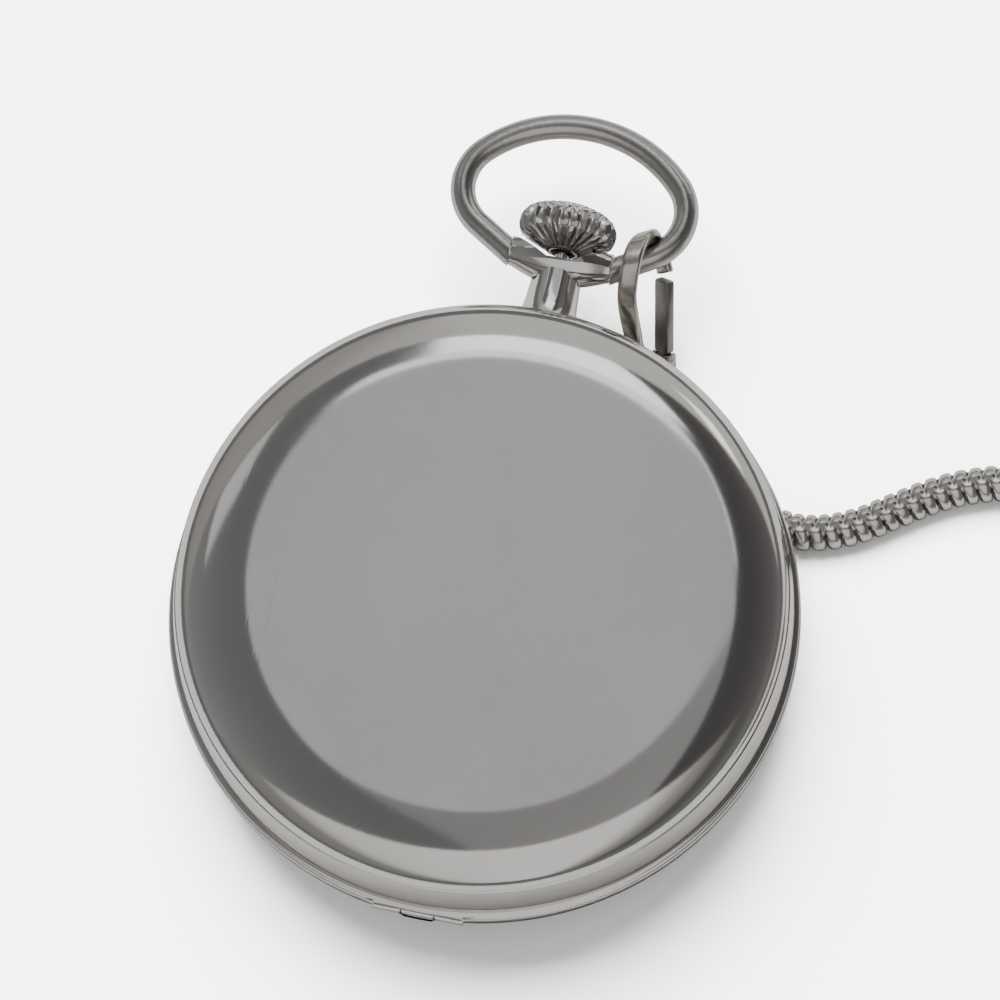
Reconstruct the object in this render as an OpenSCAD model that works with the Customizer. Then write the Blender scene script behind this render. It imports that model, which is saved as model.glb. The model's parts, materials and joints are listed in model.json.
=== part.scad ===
// Hunter pocket watch lying on its front lid, back cover up.
// The origin is the middle of the lid's flat resting face. +Y runs to the pendant, +Z to the back.

/* [Case] */
// Widest radius of the case
case_r = 24; // [23.8:0.1:24.2]
// Height of the case lying flat
case_h = 14.6; // [14.4:0.1:14.8]
// Height of the widest point above the resting face
waist_z = 6.6; // [6.5:0.05:6.7]
// Radius of the lid's flat resting face
rest_r = 9; // [8:0.5:10]
// Thickness of the lid and the back cover
wall = 0.75; // [0.6:0.05:0.8]
// Radius where the back cover meets the middle
cover_r = 23.1; // [22.9:0.05:23.3]
// Height of the seam between the middle and the back cover
seam_z = 12; // [11.9:0.05:12.1]
// Radius of the nearly flat part of the back
back_flat_r = 17.2; // [16.5:0.1:18]
// Half length of the lid hinge
hinge_half = 3.5; // [3:0.1:3.6]

/* [Pendant, crown and bow] */
// Height of the stem's axis above the resting face
stem_z = 9.2; // [9.1:0.05:9.3]
// Distance from the case centre to the bow's axis
bow_y = 28.3; // [28:0.1:28.5]
// Half length of the crossbar that holds the bow
bar_half = 3.95; // [3.9:0.05:4]
// Radius of the crossbar's ends
bar_r = 1.15; // [1.1:0.05:1.2]
// Radius of the crossbar's thick middle
bar_mid_r = 2; // [1.9:0.05:2.1]
// Radius of the bow's wire
bow_wire_r = 0.97; // [0.9:0.01:1]
// Radius of the crown
crown_r = 3.8; // [3.7:0.1:3.9]
// Number of flutes on the crown
crown_flutes = 30; // [26:1:34]

/* [Movement] */
// Radius of the main plate
plate_r = 20.3; // [20.2:0.05:20.35]
// Radius of the balance wheel
balance_r = 6.4; // [6:0.1:6.5]
// Length of the minute hand
minute_len = 16; // [14:0.5:17]

/* [Chain] */
// Diameter of the snake chain
chain_d = 2.8; // [2.6:0.1:2.8]
// Radius of the middle of the coil's turns
coil_mid_r = 14.5; // [14:0.5:15]
// Number of turns lying side by side in the coil
coil_turns = 3; // [3:1:3]

/* [Hidden] */
$fn = 64;

steel = "silver";
dark_steel = "dimgray";
brass = "goldenrod";

// Case profile
lid_span = case_r - rest_r;
lid_rim_z = 7.2;
lip_z = 7.4;
neck_r = 22.2;
neck_z = 5.3;
bore_r = 20.6;
knuckle_r = 0.75;
hinge_y = knuckle_r - case_r;
hinge_z = 6.5;
knuckle_gap = 0.1;
pin_r = 0.3;
stem_r = 0.55;
stem_end = 11;
sleeve_r = 1.05;
crown_y = 28.8;
mid_knuckle = 1.25;
shoulder_w = cover_r - back_flat_r;
shoulder_h = case_h - 0.2 - seam_z;

// Movement levels, all above the resting face
dial_z = 7.2;
plate_z = 7.65;
plate_top = 9.55;
low_z = 9.7;
barrel_z = 8.75;
barrel_r = 6.4;
mid_z = 10.1;
high_z = 10.5;
wheel_t = 0.25;
bridge_z = 11.05;
bridge_top = 12;
top_wheel_z = 12.05;
top_wheel_t = 0.4;

// Places of the arbors
barrel_at = [-5.9, 6];
crown_wheel_at = [0.6, 10.1];
minute_wheel_at = [3.75, 1.9];
third_at = [4.6, -5.2];
fourth_at = [0, -9];
escape_at = [-4.6, -11.7];
lever_at = [5, 16.4];
pallet_at = [-7, -8.2];
pallet_foot_at = [-11.2, -12.4];
balance_at = [-9.5, -4.5];
click_at = [-11.1, 8.6];

// Route of the free chain: it hugs the rim, runs out across the surface and joins the coil's outer turn
chain_route = [
    [12.3, 19.2], [13.8, 17.4], [15.4, 15.8], [17.2, 14.3], [19.3, 13.2], [21.6, 12.9], [23.9, 13.35],
    [26.2, 14.4], [28.4, 15.9], [30.5, 17.35], [32.7, 18.6], [35, 19.5], [37.5, 20.15], [40, 20.45],
    [43, 20.6], [46, 20.55], [49, 20.45], [52, 20.4], [55.5, 20.4], [59, 20.4]
];
chain_z = chain_d / 2;
coil_at = [59, 3.1];
coil_in_r = coil_mid_r - coil_turns * chain_d / 2;
cap_from = [10.5, 21.03, chain_z];
cap_to = [12.3, 19.2, chain_z];
ring_at_pos = [9.58, 22.06, 1.06];
far_cap_at = [56.34, 1.9, chain_z];
far_cap_len = 3.2;
bar_wire_r = 0.9;
bar_at = [59.04, 6.58, bar_wire_r];
bar_len = 13;

function ellipse_arc(cx, cy, a, b, from, to, n) =
    [for (i = [0:n]) let (t = from + (to - from) * i / n) [cx + a * cos(t), cy + b * sin(t)]];

function saw(n, tip, root) =
    [for (i = [0:2 * n - 1]) let (r = i % 2 == 0 ? tip : root) [r * cos(i * 180 / n), r * sin(i * 180 / n)]];

function unit(v) = v / norm(v);

// Points of a ring round a point, square to the direction: half_t is half its thickness and
// half_w half its width, which lies along up. The corners stand a little proud, to keep the flats' size.
function ring_at(p, dir, up, half_t, half_w, sides) =
    let (side = unit(cross(dir, up)), top = unit(cross(side, dir)), grow = 1 / cos(180 / sides))
    [for (k = [0:sides - 1]) let (a = 360 * (k + 0.5) / sides)
        p + side * half_t * grow * cos(a) + top * half_w * grow * sin(a)];

// Catmull-Rom point on a list of points
function spline_at(pts, t) =
    let (n = len(pts) - 1, i = min(floor(t), n - 1), u = t - i,
         a = pts[max(i - 1, 0)], b = pts[i], c = pts[i + 1], d = pts[min(i + 2, n)])
    0.5 * (2 * b + (c - a) * u + (2 * a - 5 * b + 4 * c - d) * u * u + (3 * b - a - 3 * c + d) * u * u * u);

// Closed tube of rings along a list of points. ups gives the direction of the width at each point.
module sweep(pts, ups, half_t, half_w, sides) {
    n = len(pts);
    dirs = [for (i = [0:n - 1]) unit(pts[min(i + 1, n - 1)] - pts[max(i - 1, 0)])];
    rings = [for (i = [0:n - 1]) each ring_at(pts[i], dirs[i], ups[i], half_t[i], half_w[i], sides)];
    sides_faces = [for (i = [0:n - 2]) for (k = [0:sides - 1])
        let (k2 = (k + 1) % sides)
        each [[i * sides + k, i * sides + k2, (i + 1) * sides + k2],
              [i * sides + k, (i + 1) * sides + k2, (i + 1) * sides + k]]];
    first = [for (k = [sides - 1:-1:0]) k];
    last = [for (k = [0:sides - 1]) (n - 1) * sides + k];
    polyhedron(rings, concat(sides_faces, [first], [last]));
}

module at(xy, z = 0) {
    translate([xy[0], xy[1], z]) children();
}

module along_y(y, z = stem_z, x = 0) {
    translate([x, y, z]) rotate([-90, 0, 0]) children();
}

module tube(outer, inner, h) {
    difference() {
        cylinder(r = outer, h = h);
        translate([0, 0, -1]) cylinder(r = inner, h = h + 2);
    }
}

module toothed(n, r, h, depth = 0.35) {
    linear_extrude(h) polygon(saw(n, r, r - depth));
}

// Spoked wheel with a toothed rim
module spoked(n, r, h, rim_w, hub, spokes, spoke_w) {
    difference() {
        toothed(n, r, h);
        translate([0, 0, -1]) linear_extrude(h + 2) difference() {
            circle(r = r - rim_w);
            circle(r = hub);
            for (k = [0:spokes - 1])
                rotate(k * 360 / spokes) translate([0, -spoke_w / 2]) square([r, spoke_w]);
        }
    }
}

// Arbor with a pivot at each end
module arbor(z0, z1, r, pivot = 0.25) {
    translate([0, 0, z0]) cylinder(r = r, h = z1 - z0);
    translate([0, 0, z0 - 0.6]) cylinder(r = pivot, h = z1 - z0 + 1.2);
}

// ---- Case ----

module lid_shell() {
    rotate_extrude() polygon(concat(
        [[0, 0], [rest_r, 0]],
        ellipse_arc(rest_r, waist_z, lid_span, waist_z, -85, 0, 16),
        [[case_r, lid_rim_z - 0.3], [case_r - 0.25, lid_rim_z], [case_r - wall, lid_rim_z]],
        ellipse_arc(rest_r, waist_z, lid_span - wall, waist_z - wall, 0, -85, 16),
        [[rest_r, wall], [0, wall]]));
}

module front_lid() color(steel) {
    difference() {
        union() {
            difference() {
                lid_shell();
                translate([-hinge_half - knuckle_gap, -case_r - 1, hinge_z])
                    cube([2 * (hinge_half + knuckle_gap), 2.6, 2]);
            }
            for (side = [-1, 1])
                translate([side < 0 ? -hinge_half : mid_knuckle + 0.05, hinge_y, hinge_z])
                    rotate([0, 90, 0]) cylinder(r = knuckle_r, h = hinge_half - mid_knuckle - 0.05);
            for (side = [-1, 1])
                translate([side < 0 ? -hinge_half : mid_knuckle + 0.05, hinge_y - 0.4, hinge_z - 1.3])
                    cube([hinge_half - mid_knuckle - 0.05, 0.8, 1.3]);
        }
        translate([-hinge_half - 1, hinge_y, hinge_z])
            rotate([0, 90, 0]) cylinder(r = pin_r, h = 2 * hinge_half + 2);
        translate([-mid_knuckle - 0.05, hinge_y, hinge_z])
            rotate([0, 90, 0]) cylinder(r = knuckle_r + 0.15, h = 2 * mid_knuckle + 0.1);
    }
}

module lid_hinge_pin() color(dark_steel) {
    translate([-hinge_half, hinge_y, hinge_z]) rotate([0, 90, 0]) cylinder(r = pin_r, h = 2 * hinge_half);
}

module case_middle() color(steel) {
    difference() {
        union() {
            rotate_extrude() polygon([
                [bore_r, neck_z], [neck_r, neck_z], [neck_r, lip_z], [case_r - 0.15, lip_z],
                [case_r - 0.1, lip_z + 0.15], [case_r - 0.18, lip_z + 0.32], [case_r - 0.42, lip_z + 0.38],
                [case_r - 0.46, lip_z + 1.3], [case_r - 0.56, lip_z + 2.4], [case_r - 0.72, lip_z + 3.6],
                [cover_r, seam_z - 0.08], [cover_r - 0.1, seam_z], [bore_r, seam_z]]);
            translate([-mid_knuckle, hinge_y, hinge_z]) rotate([0, 90, 0]) cylinder(r = knuckle_r, h = 2 * mid_knuckle);
            translate([-mid_knuckle, hinge_y, hinge_z]) cube([2 * mid_knuckle, 2, knuckle_r]);
            rotate_extrude() polygon([[19.9, 6.75], [20.7, 6.75], [20.7, 7.15], [19.9, 7.15]]);
        }
        translate([-mid_knuckle - 1, hinge_y, hinge_z])
            rotate([0, 90, 0]) cylinder(r = pin_r + 0.03, h = 2 * mid_knuckle + 2);
        along_y(bore_r - 2) cylinder(r = 1.5, h = 6);
        rotate([0, 0, 100]) rotate_extrude(angle = 60) translate([bore_r - 0.5, 8.6]) square([1.6, 2]);
        rotate([0, 0, 200]) rotate_extrude(angle = 60) translate([bore_r - 0.5, 8.6]) square([1.6, 2]);
        for (a = [20, 160]) rotate([0, 0, a]) translate([bore_r - 0.6, -0.9, 10.4]) cube([1.5, 1.8, 3]);
        translate([0, 0, seam_z - 0.6]) tube(21.45, 20.85, 1);
    }
}

module back_cover() color(steel) {
    translate([0, 0, 0.05]) rotate_extrude() polygon(concat(
        [[0, case_h - wall]],
        [[back_flat_r - 0.6, case_h - wall - 0.25]],
        ellipse_arc(back_flat_r, seam_z, shoulder_w - wall, shoulder_h - wall, 80, 20, 10),
        [[cover_r - wall, seam_z], [cover_r - 0.1, seam_z], [cover_r, seam_z + 0.08]],
        ellipse_arc(back_flat_r, seam_z, shoulder_w, shoulder_h, 8, 90, 16),
        [[back_flat_r * 0.6, case_h - 0.07], [0, case_h - 0.05]]));
}

module bezel() color(steel) {
    rotate_extrude() polygon([
        [19.3, 4.9], [19.7, 4.45], [20.6, 4.3], [21.3, 4.55], [21.6, 5.22], [20.5, 5.22],
        [20.5, 6.3], [19.95, 6.3], [19.95, 5.35], [19.3, 5.35]]);
}

module crystal() color("lightcyan") {
    rotate_extrude() polygon(concat(
        [[0, 3.55]],
        [for (i = [1:6]) let (r = i * 3.2) [r, 3.55 + 1.9 * pow(r / 19.2, 2)]],
        [[19.2, 5.4], [19.85, 5.4], [19.85, 6.1]],
        [for (i = [6:-1:1]) let (r = i * 3.2) [r, 4.25 + 1.8 * pow(r / 19.2, 2)]],
        [[0, 4.25]]));
}

module case_gasket() color("black") {
    translate([0, 0, seam_z - 0.55]) tube(21.4, 20.9, 0.5);
}

module lock_spring() color(dark_steel) {
    rotate([0, 0, 102]) rotate_extrude(angle = 56) translate([20.75, 8.8]) square([0.35, 1.4]);
    rotate([0, 0, 150]) rotate_extrude(angle = 8) translate([20.75, 8.8]) square([0.95, 1.4]);
    rotate([0, 0, 102]) rotate_extrude(angle = 3) translate([20.75, 8.8]) square([0.95, 1.4]);
}

module fly_spring() color(dark_steel) {
    rotate([0, 0, 202]) rotate_extrude(angle = 56) translate([20.75, 8.8]) square([0.35, 1.4]);
    rotate([0, 0, 202]) rotate_extrude(angle = 8) translate([20.75, 8.8]) square([0.95, 1.4]);
}

module case_screws() color("steelblue") {
    for (a = [20, 160]) rotate([0, 0, a]) translate([19.6, 0, 11.5]) difference() {
        cylinder(r = 1.15, h = 0.45);
        translate([-2, -0.12, 0.25]) cube([4, 0.24, 1]);
    }
}

// ---- Pendant, crown and bow ----

module pendant() color(steel) {
    difference() {
        union() {
            along_y(22.9) rotate([0, 0, 22.5]) cylinder(r1 = 2.5, r2 = 2.1, h = 1.6, $fn = 8);
            along_y(24.5) rotate([0, 0, 22.5]) cylinder(r1 = 2.1, r2 = 1.95, h = 3, $fn = 8);
            translate([0, bow_y, stem_z]) rotate([0, 90, 0]) rotate_extrude() polygon([
                [0, -bar_half], [bar_r, -bar_half], [bar_r + 0.03, 0.25 - bar_half], [bar_mid_r - 0.3, -2.35],
                [bar_mid_r - 0.06, -1.3], [bar_mid_r, -0.6], [bar_mid_r, 0.6], [bar_mid_r - 0.06, 1.3],
                [bar_mid_r - 0.3, 2.35], [bar_r + 0.03, bar_half - 0.25], [bar_r, bar_half], [0, bar_half]]);
        }
        translate([0, 0, -1]) cylinder(r = case_r + 0.15, h = lid_rim_z + 1.15);
        cylinder(r = cover_r + 0.2, h = 20);
        along_y(20) cylinder(r = sleeve_r, h = 12);
        translate([0, bow_y, stem_z - 3]) linear_extrude(6)
            polygon([[-1, -0.5], [1, -0.5], [4.6, 1.5], [4.6, 4], [-4.6, 4], [-4.6, 1.5]]);
        for (side = [-1, 1])
            translate([side * (bar_half - 0.6), bow_y, stem_z]) rotate([0, 90, 0])
                cylinder(r = 0.5, h = 1.4, center = true);
    }
}

module stem_sleeve() color(dark_steel) {
    along_y(22.6) tube(sleeve_r, stem_r + 0.07, 5);
}

// The bow is a flattened oval of three arcs that ends in two straight feet
bow_bend_r = 3.9;
bow_bend_x = 4.78;
bow_bend_y = bow_y + 4.93;
bow_top_r = 10.5;
bow_half_angle = asin(bow_bend_x / (bow_top_r - bow_bend_r));
bow_top_y = bow_bend_y - (bow_top_r - bow_bend_r) * cos(bow_half_angle);
bow_foot_angle = 58;
bow_foot_len = 2.5;

function arc_pts(x, y, r, from, to, n) =
    [for (i = [0:n]) let (t = from + (to - from) * i / n) [x + r * cos(t), y + r * sin(t), stem_z]];

function bow_half(side) = concat(
    [[side * (bow_bend_x + bow_bend_r * cos(bow_foot_angle) - bow_foot_len * sin(bow_foot_angle)),
      bow_bend_y - bow_bend_r * sin(bow_foot_angle) - bow_foot_len * cos(bow_foot_angle), stem_z]],
    [for (p = arc_pts(bow_bend_x, bow_bend_y, bow_bend_r, -bow_foot_angle, 90 - bow_half_angle, 12))
        [side * p[0], p[1], p[2]]]);

module bow() color("gray") {
    left = bow_half(-1);
    pts = concat(
        bow_half(1),
        arc_pts(0, bow_top_y, bow_top_r, 90 - bow_half_angle * 0.85, 90 + bow_half_angle * 0.85, 10),
        [for (i = [len(left) - 1:-1:0]) left[i]]);
    sweep(pts, [for (p = pts) [0, 0, 1]], [for (p = pts) bow_wire_r], [for (p = pts) bow_wire_r], 20);
    for (side = [0, 1]) mirror([side, 0, 0]) {
        translate([bar_half + 0.05, bow_y, stem_z]) rotate([0, 90, 0]) cylinder(r = bar_r - 0.05, h = 0.8);
        translate([bar_half - 0.8, bow_y, stem_z]) rotate([0, 90, 0]) cylinder(r = 0.45, h = 1.2);
    }
}

module crown() color(steel) {
    difference() {
        union() {
            along_y(crown_y) cylinder(r1 = 1.5, r2 = crown_r - 0.3, h = 1.1);
            along_y(crown_y + 1.1) cylinder(r1 = crown_r - 0.3, r2 = crown_r, h = 0.45);
            along_y(crown_y + 1.55) cylinder(r = crown_r, h = 0.8);
            along_y(crown_y + 2.35) cylinder(r1 = crown_r, r2 = crown_r - 0.55, h = 0.8);
            along_y(crown_y + 3.15) cylinder(r1 = crown_r - 0.55, r2 = crown_r - 1.9, h = 0.55);
        }
        along_y(crown_y - 1) cylinder(r = stem_r, h = 3.5);
        along_y(crown_y - 0.2) cylinder(r = 1.35, h = 0.85);
        for (k = [0:crown_flutes - 1])
            along_y(crown_y - 0.1) rotate([0, 0, k * 360 / crown_flutes]) translate([crown_r + 0.12, 0, 0])
                cylinder(r = 0.3, h = 4);
    }
}

module crown_gasket() color("black") {
    along_y(crown_y + 0.05) tube(1.3, stem_r + 0.05, 0.5);
}

module winding_stem() color(dark_steel) {
    along_y(stem_end) cylinder(r = stem_r, h = crown_y + 2.4 - stem_end);
}

module winding_pinion() color(dark_steel) {
    along_y(stem_end + 1.35) difference() {
        toothed(16, 1.6, 1.4, 0.3);
        translate([0, 0, -1]) cylinder(r = stem_r, h = 4);
    }
}

module sliding_pinion() color(dark_steel) {
    along_y(stem_end + 0.05) difference() {
        toothed(12, 1.2, 1.2, 0.2);
        translate([0, 0, -1]) cylinder(r = stem_r, h = 4);
    }
}

// ---- Movement frame ----

module dial() color("ivory") {
    difference() {
        union() {
            translate([0, 0, dial_z]) cylinder(r = plate_r, h = 0.4);
            for (a = [40, 220]) rotate([0, 0, a]) translate([17.5, 0, dial_z]) cylinder(r = 0.5, h = 1.4);
        }
        translate([0, 0, 5]) cylinder(r = 1.45, h = 5);
        at(fourth_at, 5) cylinder(r = 0.5, h = 5);
        at(fourth_at, dial_z - 1) cylinder(r = 4.4, h = 1.1);
    }
}

module main_plate() color(brass) {
    difference() {
        union() {
            translate([0, 0, plate_z]) cylinder(r = plate_r, h = plate_top - plate_z);
            at(crown_wheel_at, plate_top - 0.5) cylinder(r = 0.8, h = top_wheel_z + top_wheel_t - plate_top + 0.55);
        }
        translate([0, 0, plate_z - 1]) cylinder(r = 3.6, h = 1.85);
        at(minute_wheel_at, plate_z - 1) cylinder(r = 3.4, h = 1.85);
        at(barrel_at, plate_top - 0.9) cylinder(r = barrel_r + 0.7, h = 3);
        translate([0, 0, plate_z - 1]) cylinder(r = 0.6, h = 4);
        for (p = [third_at, fourth_at, escape_at, pallet_at, balance_at])
            at(p, plate_z - 1) cylinder(r = 0.8, h = 4);
        at(barrel_at, plate_z - 1) cylinder(r = 0.75, h = 4);
        translate([-1.9, 10.4, plate_z - 1]) cube([3.8, 4.5, 4]);
        along_y(13) cylinder(r = stem_r + 0.13, h = 9);
        translate([0.4, 14.3, plate_z - 1]) cube([6.2, 4, 1.7]);
        for (a = [40, 220]) rotate([0, 0, a]) translate([17.5, 0, plate_z - 1]) cylinder(r = 0.5, h = 2.2);
        for (a = [20, 160]) rotate([0, 0, a]) translate([19.6, 0, 11.4]) cylinder(r = 1.2, h = 3);
    }
    at(minute_wheel_at, plate_z + 0.05) cylinder(r = 0.35, h = 1);
    at(lever_at, plate_z + 0.1) cylinder(r = 0.35, h = 1);
}

module bridge_foot(from, sweep_angle) {
    rotate([0, 0, from]) rotate_extrude(angle = sweep_angle)
        translate([17.3, plate_top]) square([2.3, bridge_z - plate_top + 0.2]);
}

module balance_gap() {
    at(balance_at, 9) cylinder(r = balance_r + 0.7, h = 5);
}

module barrel_bridge() color(brass) {
    difference() {
        union() {
            translate([0, 0, bridge_z]) linear_extrude(bridge_top - bridge_z) intersection() {
                circle(r = 19.7);
                translate([-25, -1.5]) square([50, 30]);
            }
            bridge_foot(5, 70);
            bridge_foot(105, 58);
        }
        balance_gap();
        at(crown_wheel_at, 9) cylinder(r = 3.35, h = 5);
        at(barrel_at, 9) cylinder(r = 0.8, h = 5);
        translate([0, 0, 9]) cylinder(r = 0.8, h = 5);
        for (a = [20, 160]) rotate([0, 0, a]) translate([19.6, 0, 11.4]) cylinder(r = 1.2, h = 3);
    }
    at(click_at, bridge_top - 0.2) cylinder(r = 0.4, h = 0.67);
}

module train_bridge() color(brass) {
    difference() {
        union() {
            translate([0, 0, bridge_z]) linear_extrude(bridge_top - bridge_z) intersection() {
                circle(r = 19.7);
                translate([-8.5, -25]) square([33.5, 23.1]);
            }
            bridge_foot(-105, 95);
        }
        balance_gap();
        for (p = [third_at, fourth_at, escape_at]) at(p, 9) cylinder(r = 0.8, h = 5);
    }
}

module balance_cock() color(brass) {
    foot_angle = atan2(balance_at[1], balance_at[0]);
    difference() {
        union() {
            rotate([0, 0, foot_angle - 14]) rotate_extrude(angle = 28)
                translate([17.4, plate_top]) square([2.3, 12.85 - plate_top]);
            translate([0, 0, 12.05]) linear_extrude(0.8) hull() {
                at(balance_at) circle(r = 1.7, $fn = 32);
                rotate(foot_angle) translate([18.3, 0]) circle(r = 1.3, $fn = 32);
            }
        }
        at(balance_at, 11) cylinder(r = 0.8, h = 4);
    }
}

module pallet_bridge() color(brass) {
    difference() {
        union() {
            translate([0, 0, 10.3]) linear_extrude(0.5) hull() {
                at(pallet_at) circle(r = 1.3, $fn = 32);
                at(pallet_foot_at) circle(r = 1.3, $fn = 32);
            }
            at(pallet_foot_at, plate_top) cylinder(r = 1.3, h = 1);
        }
        at(pallet_at, 9) cylinder(r = 0.3, h = 3);
    }
}

module jewel(p, z, hole = 0.3) {
    at(p, z) tube(0.8, hole, 0.5);
}

module jewels() color("crimson") {
    for (p = [third_at, escape_at, pallet_at, balance_at]) jewel(p, 9);
    jewel(fourth_at, 9, 0.3);
    for (p = [third_at, fourth_at, escape_at, [0, 0]]) jewel(p, 11.3);
    jewel(balance_at, 12.2);
}

module bridge_screws() color("steelblue") {
    foot_angle = atan2(balance_at[1], balance_at[0]);
    for (a = [12, 60, 118, 145, -95, -20])
        rotate([0, 0, a]) translate([18.5, 0, bridge_top]) screw_head();
    rotate([0, 0, foot_angle + 8]) translate([18.7, 0, 12.85]) screw_head();
    at(pallet_foot_at, 10.8) screw_head();
    at(crown_wheel_at, top_wheel_z + top_wheel_t + 0.05) scale(1.4) screw_head();
    at(click_at, top_wheel_z + top_wheel_t + 0.02) screw_head();
}

module screw_head() {
    difference() {
        cylinder(r = 0.85, h = 0.35);
        translate([-2, -0.1, 0.2]) cube([4, 0.2, 1]);
    }
}

module click_spring() color(dark_steel) {
    at(click_at, top_wheel_z) difference() {
        rotate([0, 0, 110]) rotate_extrude(angle = 150) translate([2, 0]) square([0.2, 0.3]);
        translate([-1.2, -4, -1]) cube([3, 3, 3]);
    }
    at(click_at + [-1.2, 1.8], top_wheel_z) cylinder(r = 0.5, h = 0.3);
}

module setting_lever() color(dark_steel) {
    difference() {
        translate([0, 0, 7.75]) linear_extrude(0.5) hull() {
            translate([1.6, 15.7]) circle(r = 0.6, $fn = 32);
            at(lever_at) circle(r = 0.9, $fn = 32);
        }
        at(lever_at, 7) cylinder(r = 0.4, h = 2);
    }
}

module regulator() color(steel) {
    foot_angle = atan2(balance_at[1], balance_at[0]);
    difference() {
        at(balance_at, 12.9) union() {
            cylinder(r = 1.4, h = 0.2);
            rotate([0, 0, foot_angle + 180]) translate([-0.25, -0.2, 0]) rotate([0, 0, 150])
                cube([4.6, 0.4, 0.2]);
        }
        at(balance_at, 12) cylinder(r = 0.5, h = 3);
    }
}

// ---- Train ----

module mainspring_barrel() color(brass) {
    at(barrel_at) difference() {
        union() {
            translate([0, 0, barrel_z]) cylinder(r = barrel_r, h = 1.67);
            translate([0, 0, low_z]) toothed(76, barrel_r + 0.4, 0.35);
        }
        translate([0, 0, barrel_z + 0.2]) cylinder(r = barrel_r - 0.4, h = 1.27);
        translate([0, 0, barrel_z - 1]) cylinder(r = 0.75, h = 3);
    }
}

module barrel_arbor() color(dark_steel) {
    at(barrel_at) {
        translate([0, 0, plate_z + 0.3]) cylinder(r = 0.7, h = top_wheel_z + top_wheel_t - plate_z - 0.3);
        translate([0, 0, barrel_z + 0.3]) cylinder(r = 2, h = 1.07);
        translate([0, 0, top_wheel_z + top_wheel_t]) scale(1.5) screw_head();
    }
}

module mainspring() color("slategray") {
    at(barrel_at, barrel_z + 0.35) linear_extrude(0.95) polygon(concat(
        [for (i = [0:72]) let (r = 2.1 + 3.6 * i / 72) [r * cos(i * 20), r * sin(i * 20)]],
        [for (i = [72:-1:0]) let (r = 2.35 + 3.6 * i / 72) [r * cos(i * 20), r * sin(i * 20)]]));
}

module ratchet_wheel() color(steel) {
    at(barrel_at, top_wheel_z) difference() {
        toothed(42, 4.1, top_wheel_t);
        translate([0, 0, -1]) cylinder(r = 0.7, h = 3);
    }
}

module crown_wheel() color(steel) {
    at(crown_wheel_at) difference() {
        union() {
            translate([0, 0, top_wheel_z]) toothed(36, 3.54, top_wheel_t);
            translate([0, 0, 10.95]) cylinder(r = 3.2, h = 1.2);
        }
        translate([0, 0, 10]) cylinder(r = 0.85, h = 4);
        translate([0, 0, 10]) cylinder(r = 2.3, h = 1.95);
    }
}

module click() color(dark_steel) {
    nose = barrel_at - click_at;
    at(click_at, top_wheel_z) difference() {
        union() {
            cylinder(r = 0.85, h = 0.35);
            rotate([0, 0, atan2(nose[1], nose[0])]) translate([0, -0.3, 0]) cube([norm(nose) - 4.2, 0.6, 0.35]);
        }
        translate([0, 0, -1]) cylinder(r = 0.45, h = 3);
    }
}

module centre_wheel() color(brass) {
    translate([0, 0, high_z]) spoked(64, 6, wheel_t, 0.9, 1.2, 5, 0.5);
    translate([0, 0, 9.65]) toothed(12, 1.6, 0.7);
    translate([0, 0, 6.4]) cylinder(r = 0.5, h = 4.7);
    translate([0, 0, 10.6]) cylinder(r = 0.25, h = 1.2);
}

module third_wheel() color(brass) {
    at(third_at) {
        translate([0, 0, low_z]) spoked(60, 5, wheel_t, 0.8, 1, 5, 0.4);
        arbor(9.65, 11, 0.4);
        translate([0, 0, 10.2]) toothed(8, 0.9, 0.6, 0.3);
    }
}

module fourth_wheel() color(brass) {
    at(fourth_at) {
        translate([0, 0, mid_z]) spoked(70, 4.6, wheel_t, 0.7, 1, 5, 0.4);
        translate([0, 0, 6.92]) cylinder(r = 0.25, h = 4.9);
        translate([0, 0, 9.62]) cylinder(r = 0.4, h = 1.4);
        translate([0, 0, 9.65]) toothed(8, 0.9, 0.4, 0.3);
    }
}

module escape_wheel() color(steel) {
    at(escape_at) {
        translate([0, 0, low_z]) difference() {
            linear_extrude(wheel_t) polygon([for (i = [0:29]) let (r = i % 2 == 0 ? 3.4 : 2.5, a = i * 12 + (i % 2 == 0 ? 8 : 0))
                [r * cos(a), r * sin(a)]]);
            translate([0, 0, -1]) linear_extrude(3) difference() {
                circle(r = 2.1);
                circle(r = 0.8);
                for (k = [0:3]) rotate(k * 90) translate([0, -0.2]) square([3, 0.4]);
            }
        }
        arbor(9.65, 11, 0.35);
        translate([0, 0, 10.02]) toothed(7, 0.7, 0.5, 0.25);
    }
}

module pallet_fork() color(steel) {
    to_escape = escape_at - pallet_at;
    to_balance = balance_at - pallet_at;
    at(pallet_at) {
        rotate([0, 0, atan2(to_balance[1], to_balance[0])])
            translate([0, -0.2, low_z]) cube([norm(to_balance) - 1.3, 0.4, wheel_t]);
        rotate([0, 0, atan2(to_escape[1], to_escape[0]) - 90]) translate([-2.1, -0.18, low_z])
            cube([4.2, 0.36, wheel_t]);
        translate([0, 0, 9.65]) cylinder(r = 0.4, h = 0.6);
        translate([0, 0, 9.05]) cylinder(r = 0.25, h = 1.8);
    }
}

module balance_wheel() color(brass) {
    at(balance_at, 11.05) difference() {
        cylinder(r = balance_r, h = 0.45);
        translate([0, 0, -1]) linear_extrude(3) difference() {
            circle(r = balance_r - 0.6);
            circle(r = 0.9);
            translate([-balance_r, -0.35]) square([2 * balance_r, 0.7]);
        }
        translate([0, 0, -1]) cylinder(r = 0.4, h = 3);
    }
}

module balance_staff() color(dark_steel) {
    at(balance_at) {
        translate([0, 0, 9.65]) cylinder(r = 0.4, h = 2.3);
        translate([0, 0, 9.05]) cylinder(r = 0.25, h = 3.6);
        translate([0, 0, 10]) cylinder(r = 1, h = 0.2);
    }
}

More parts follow.
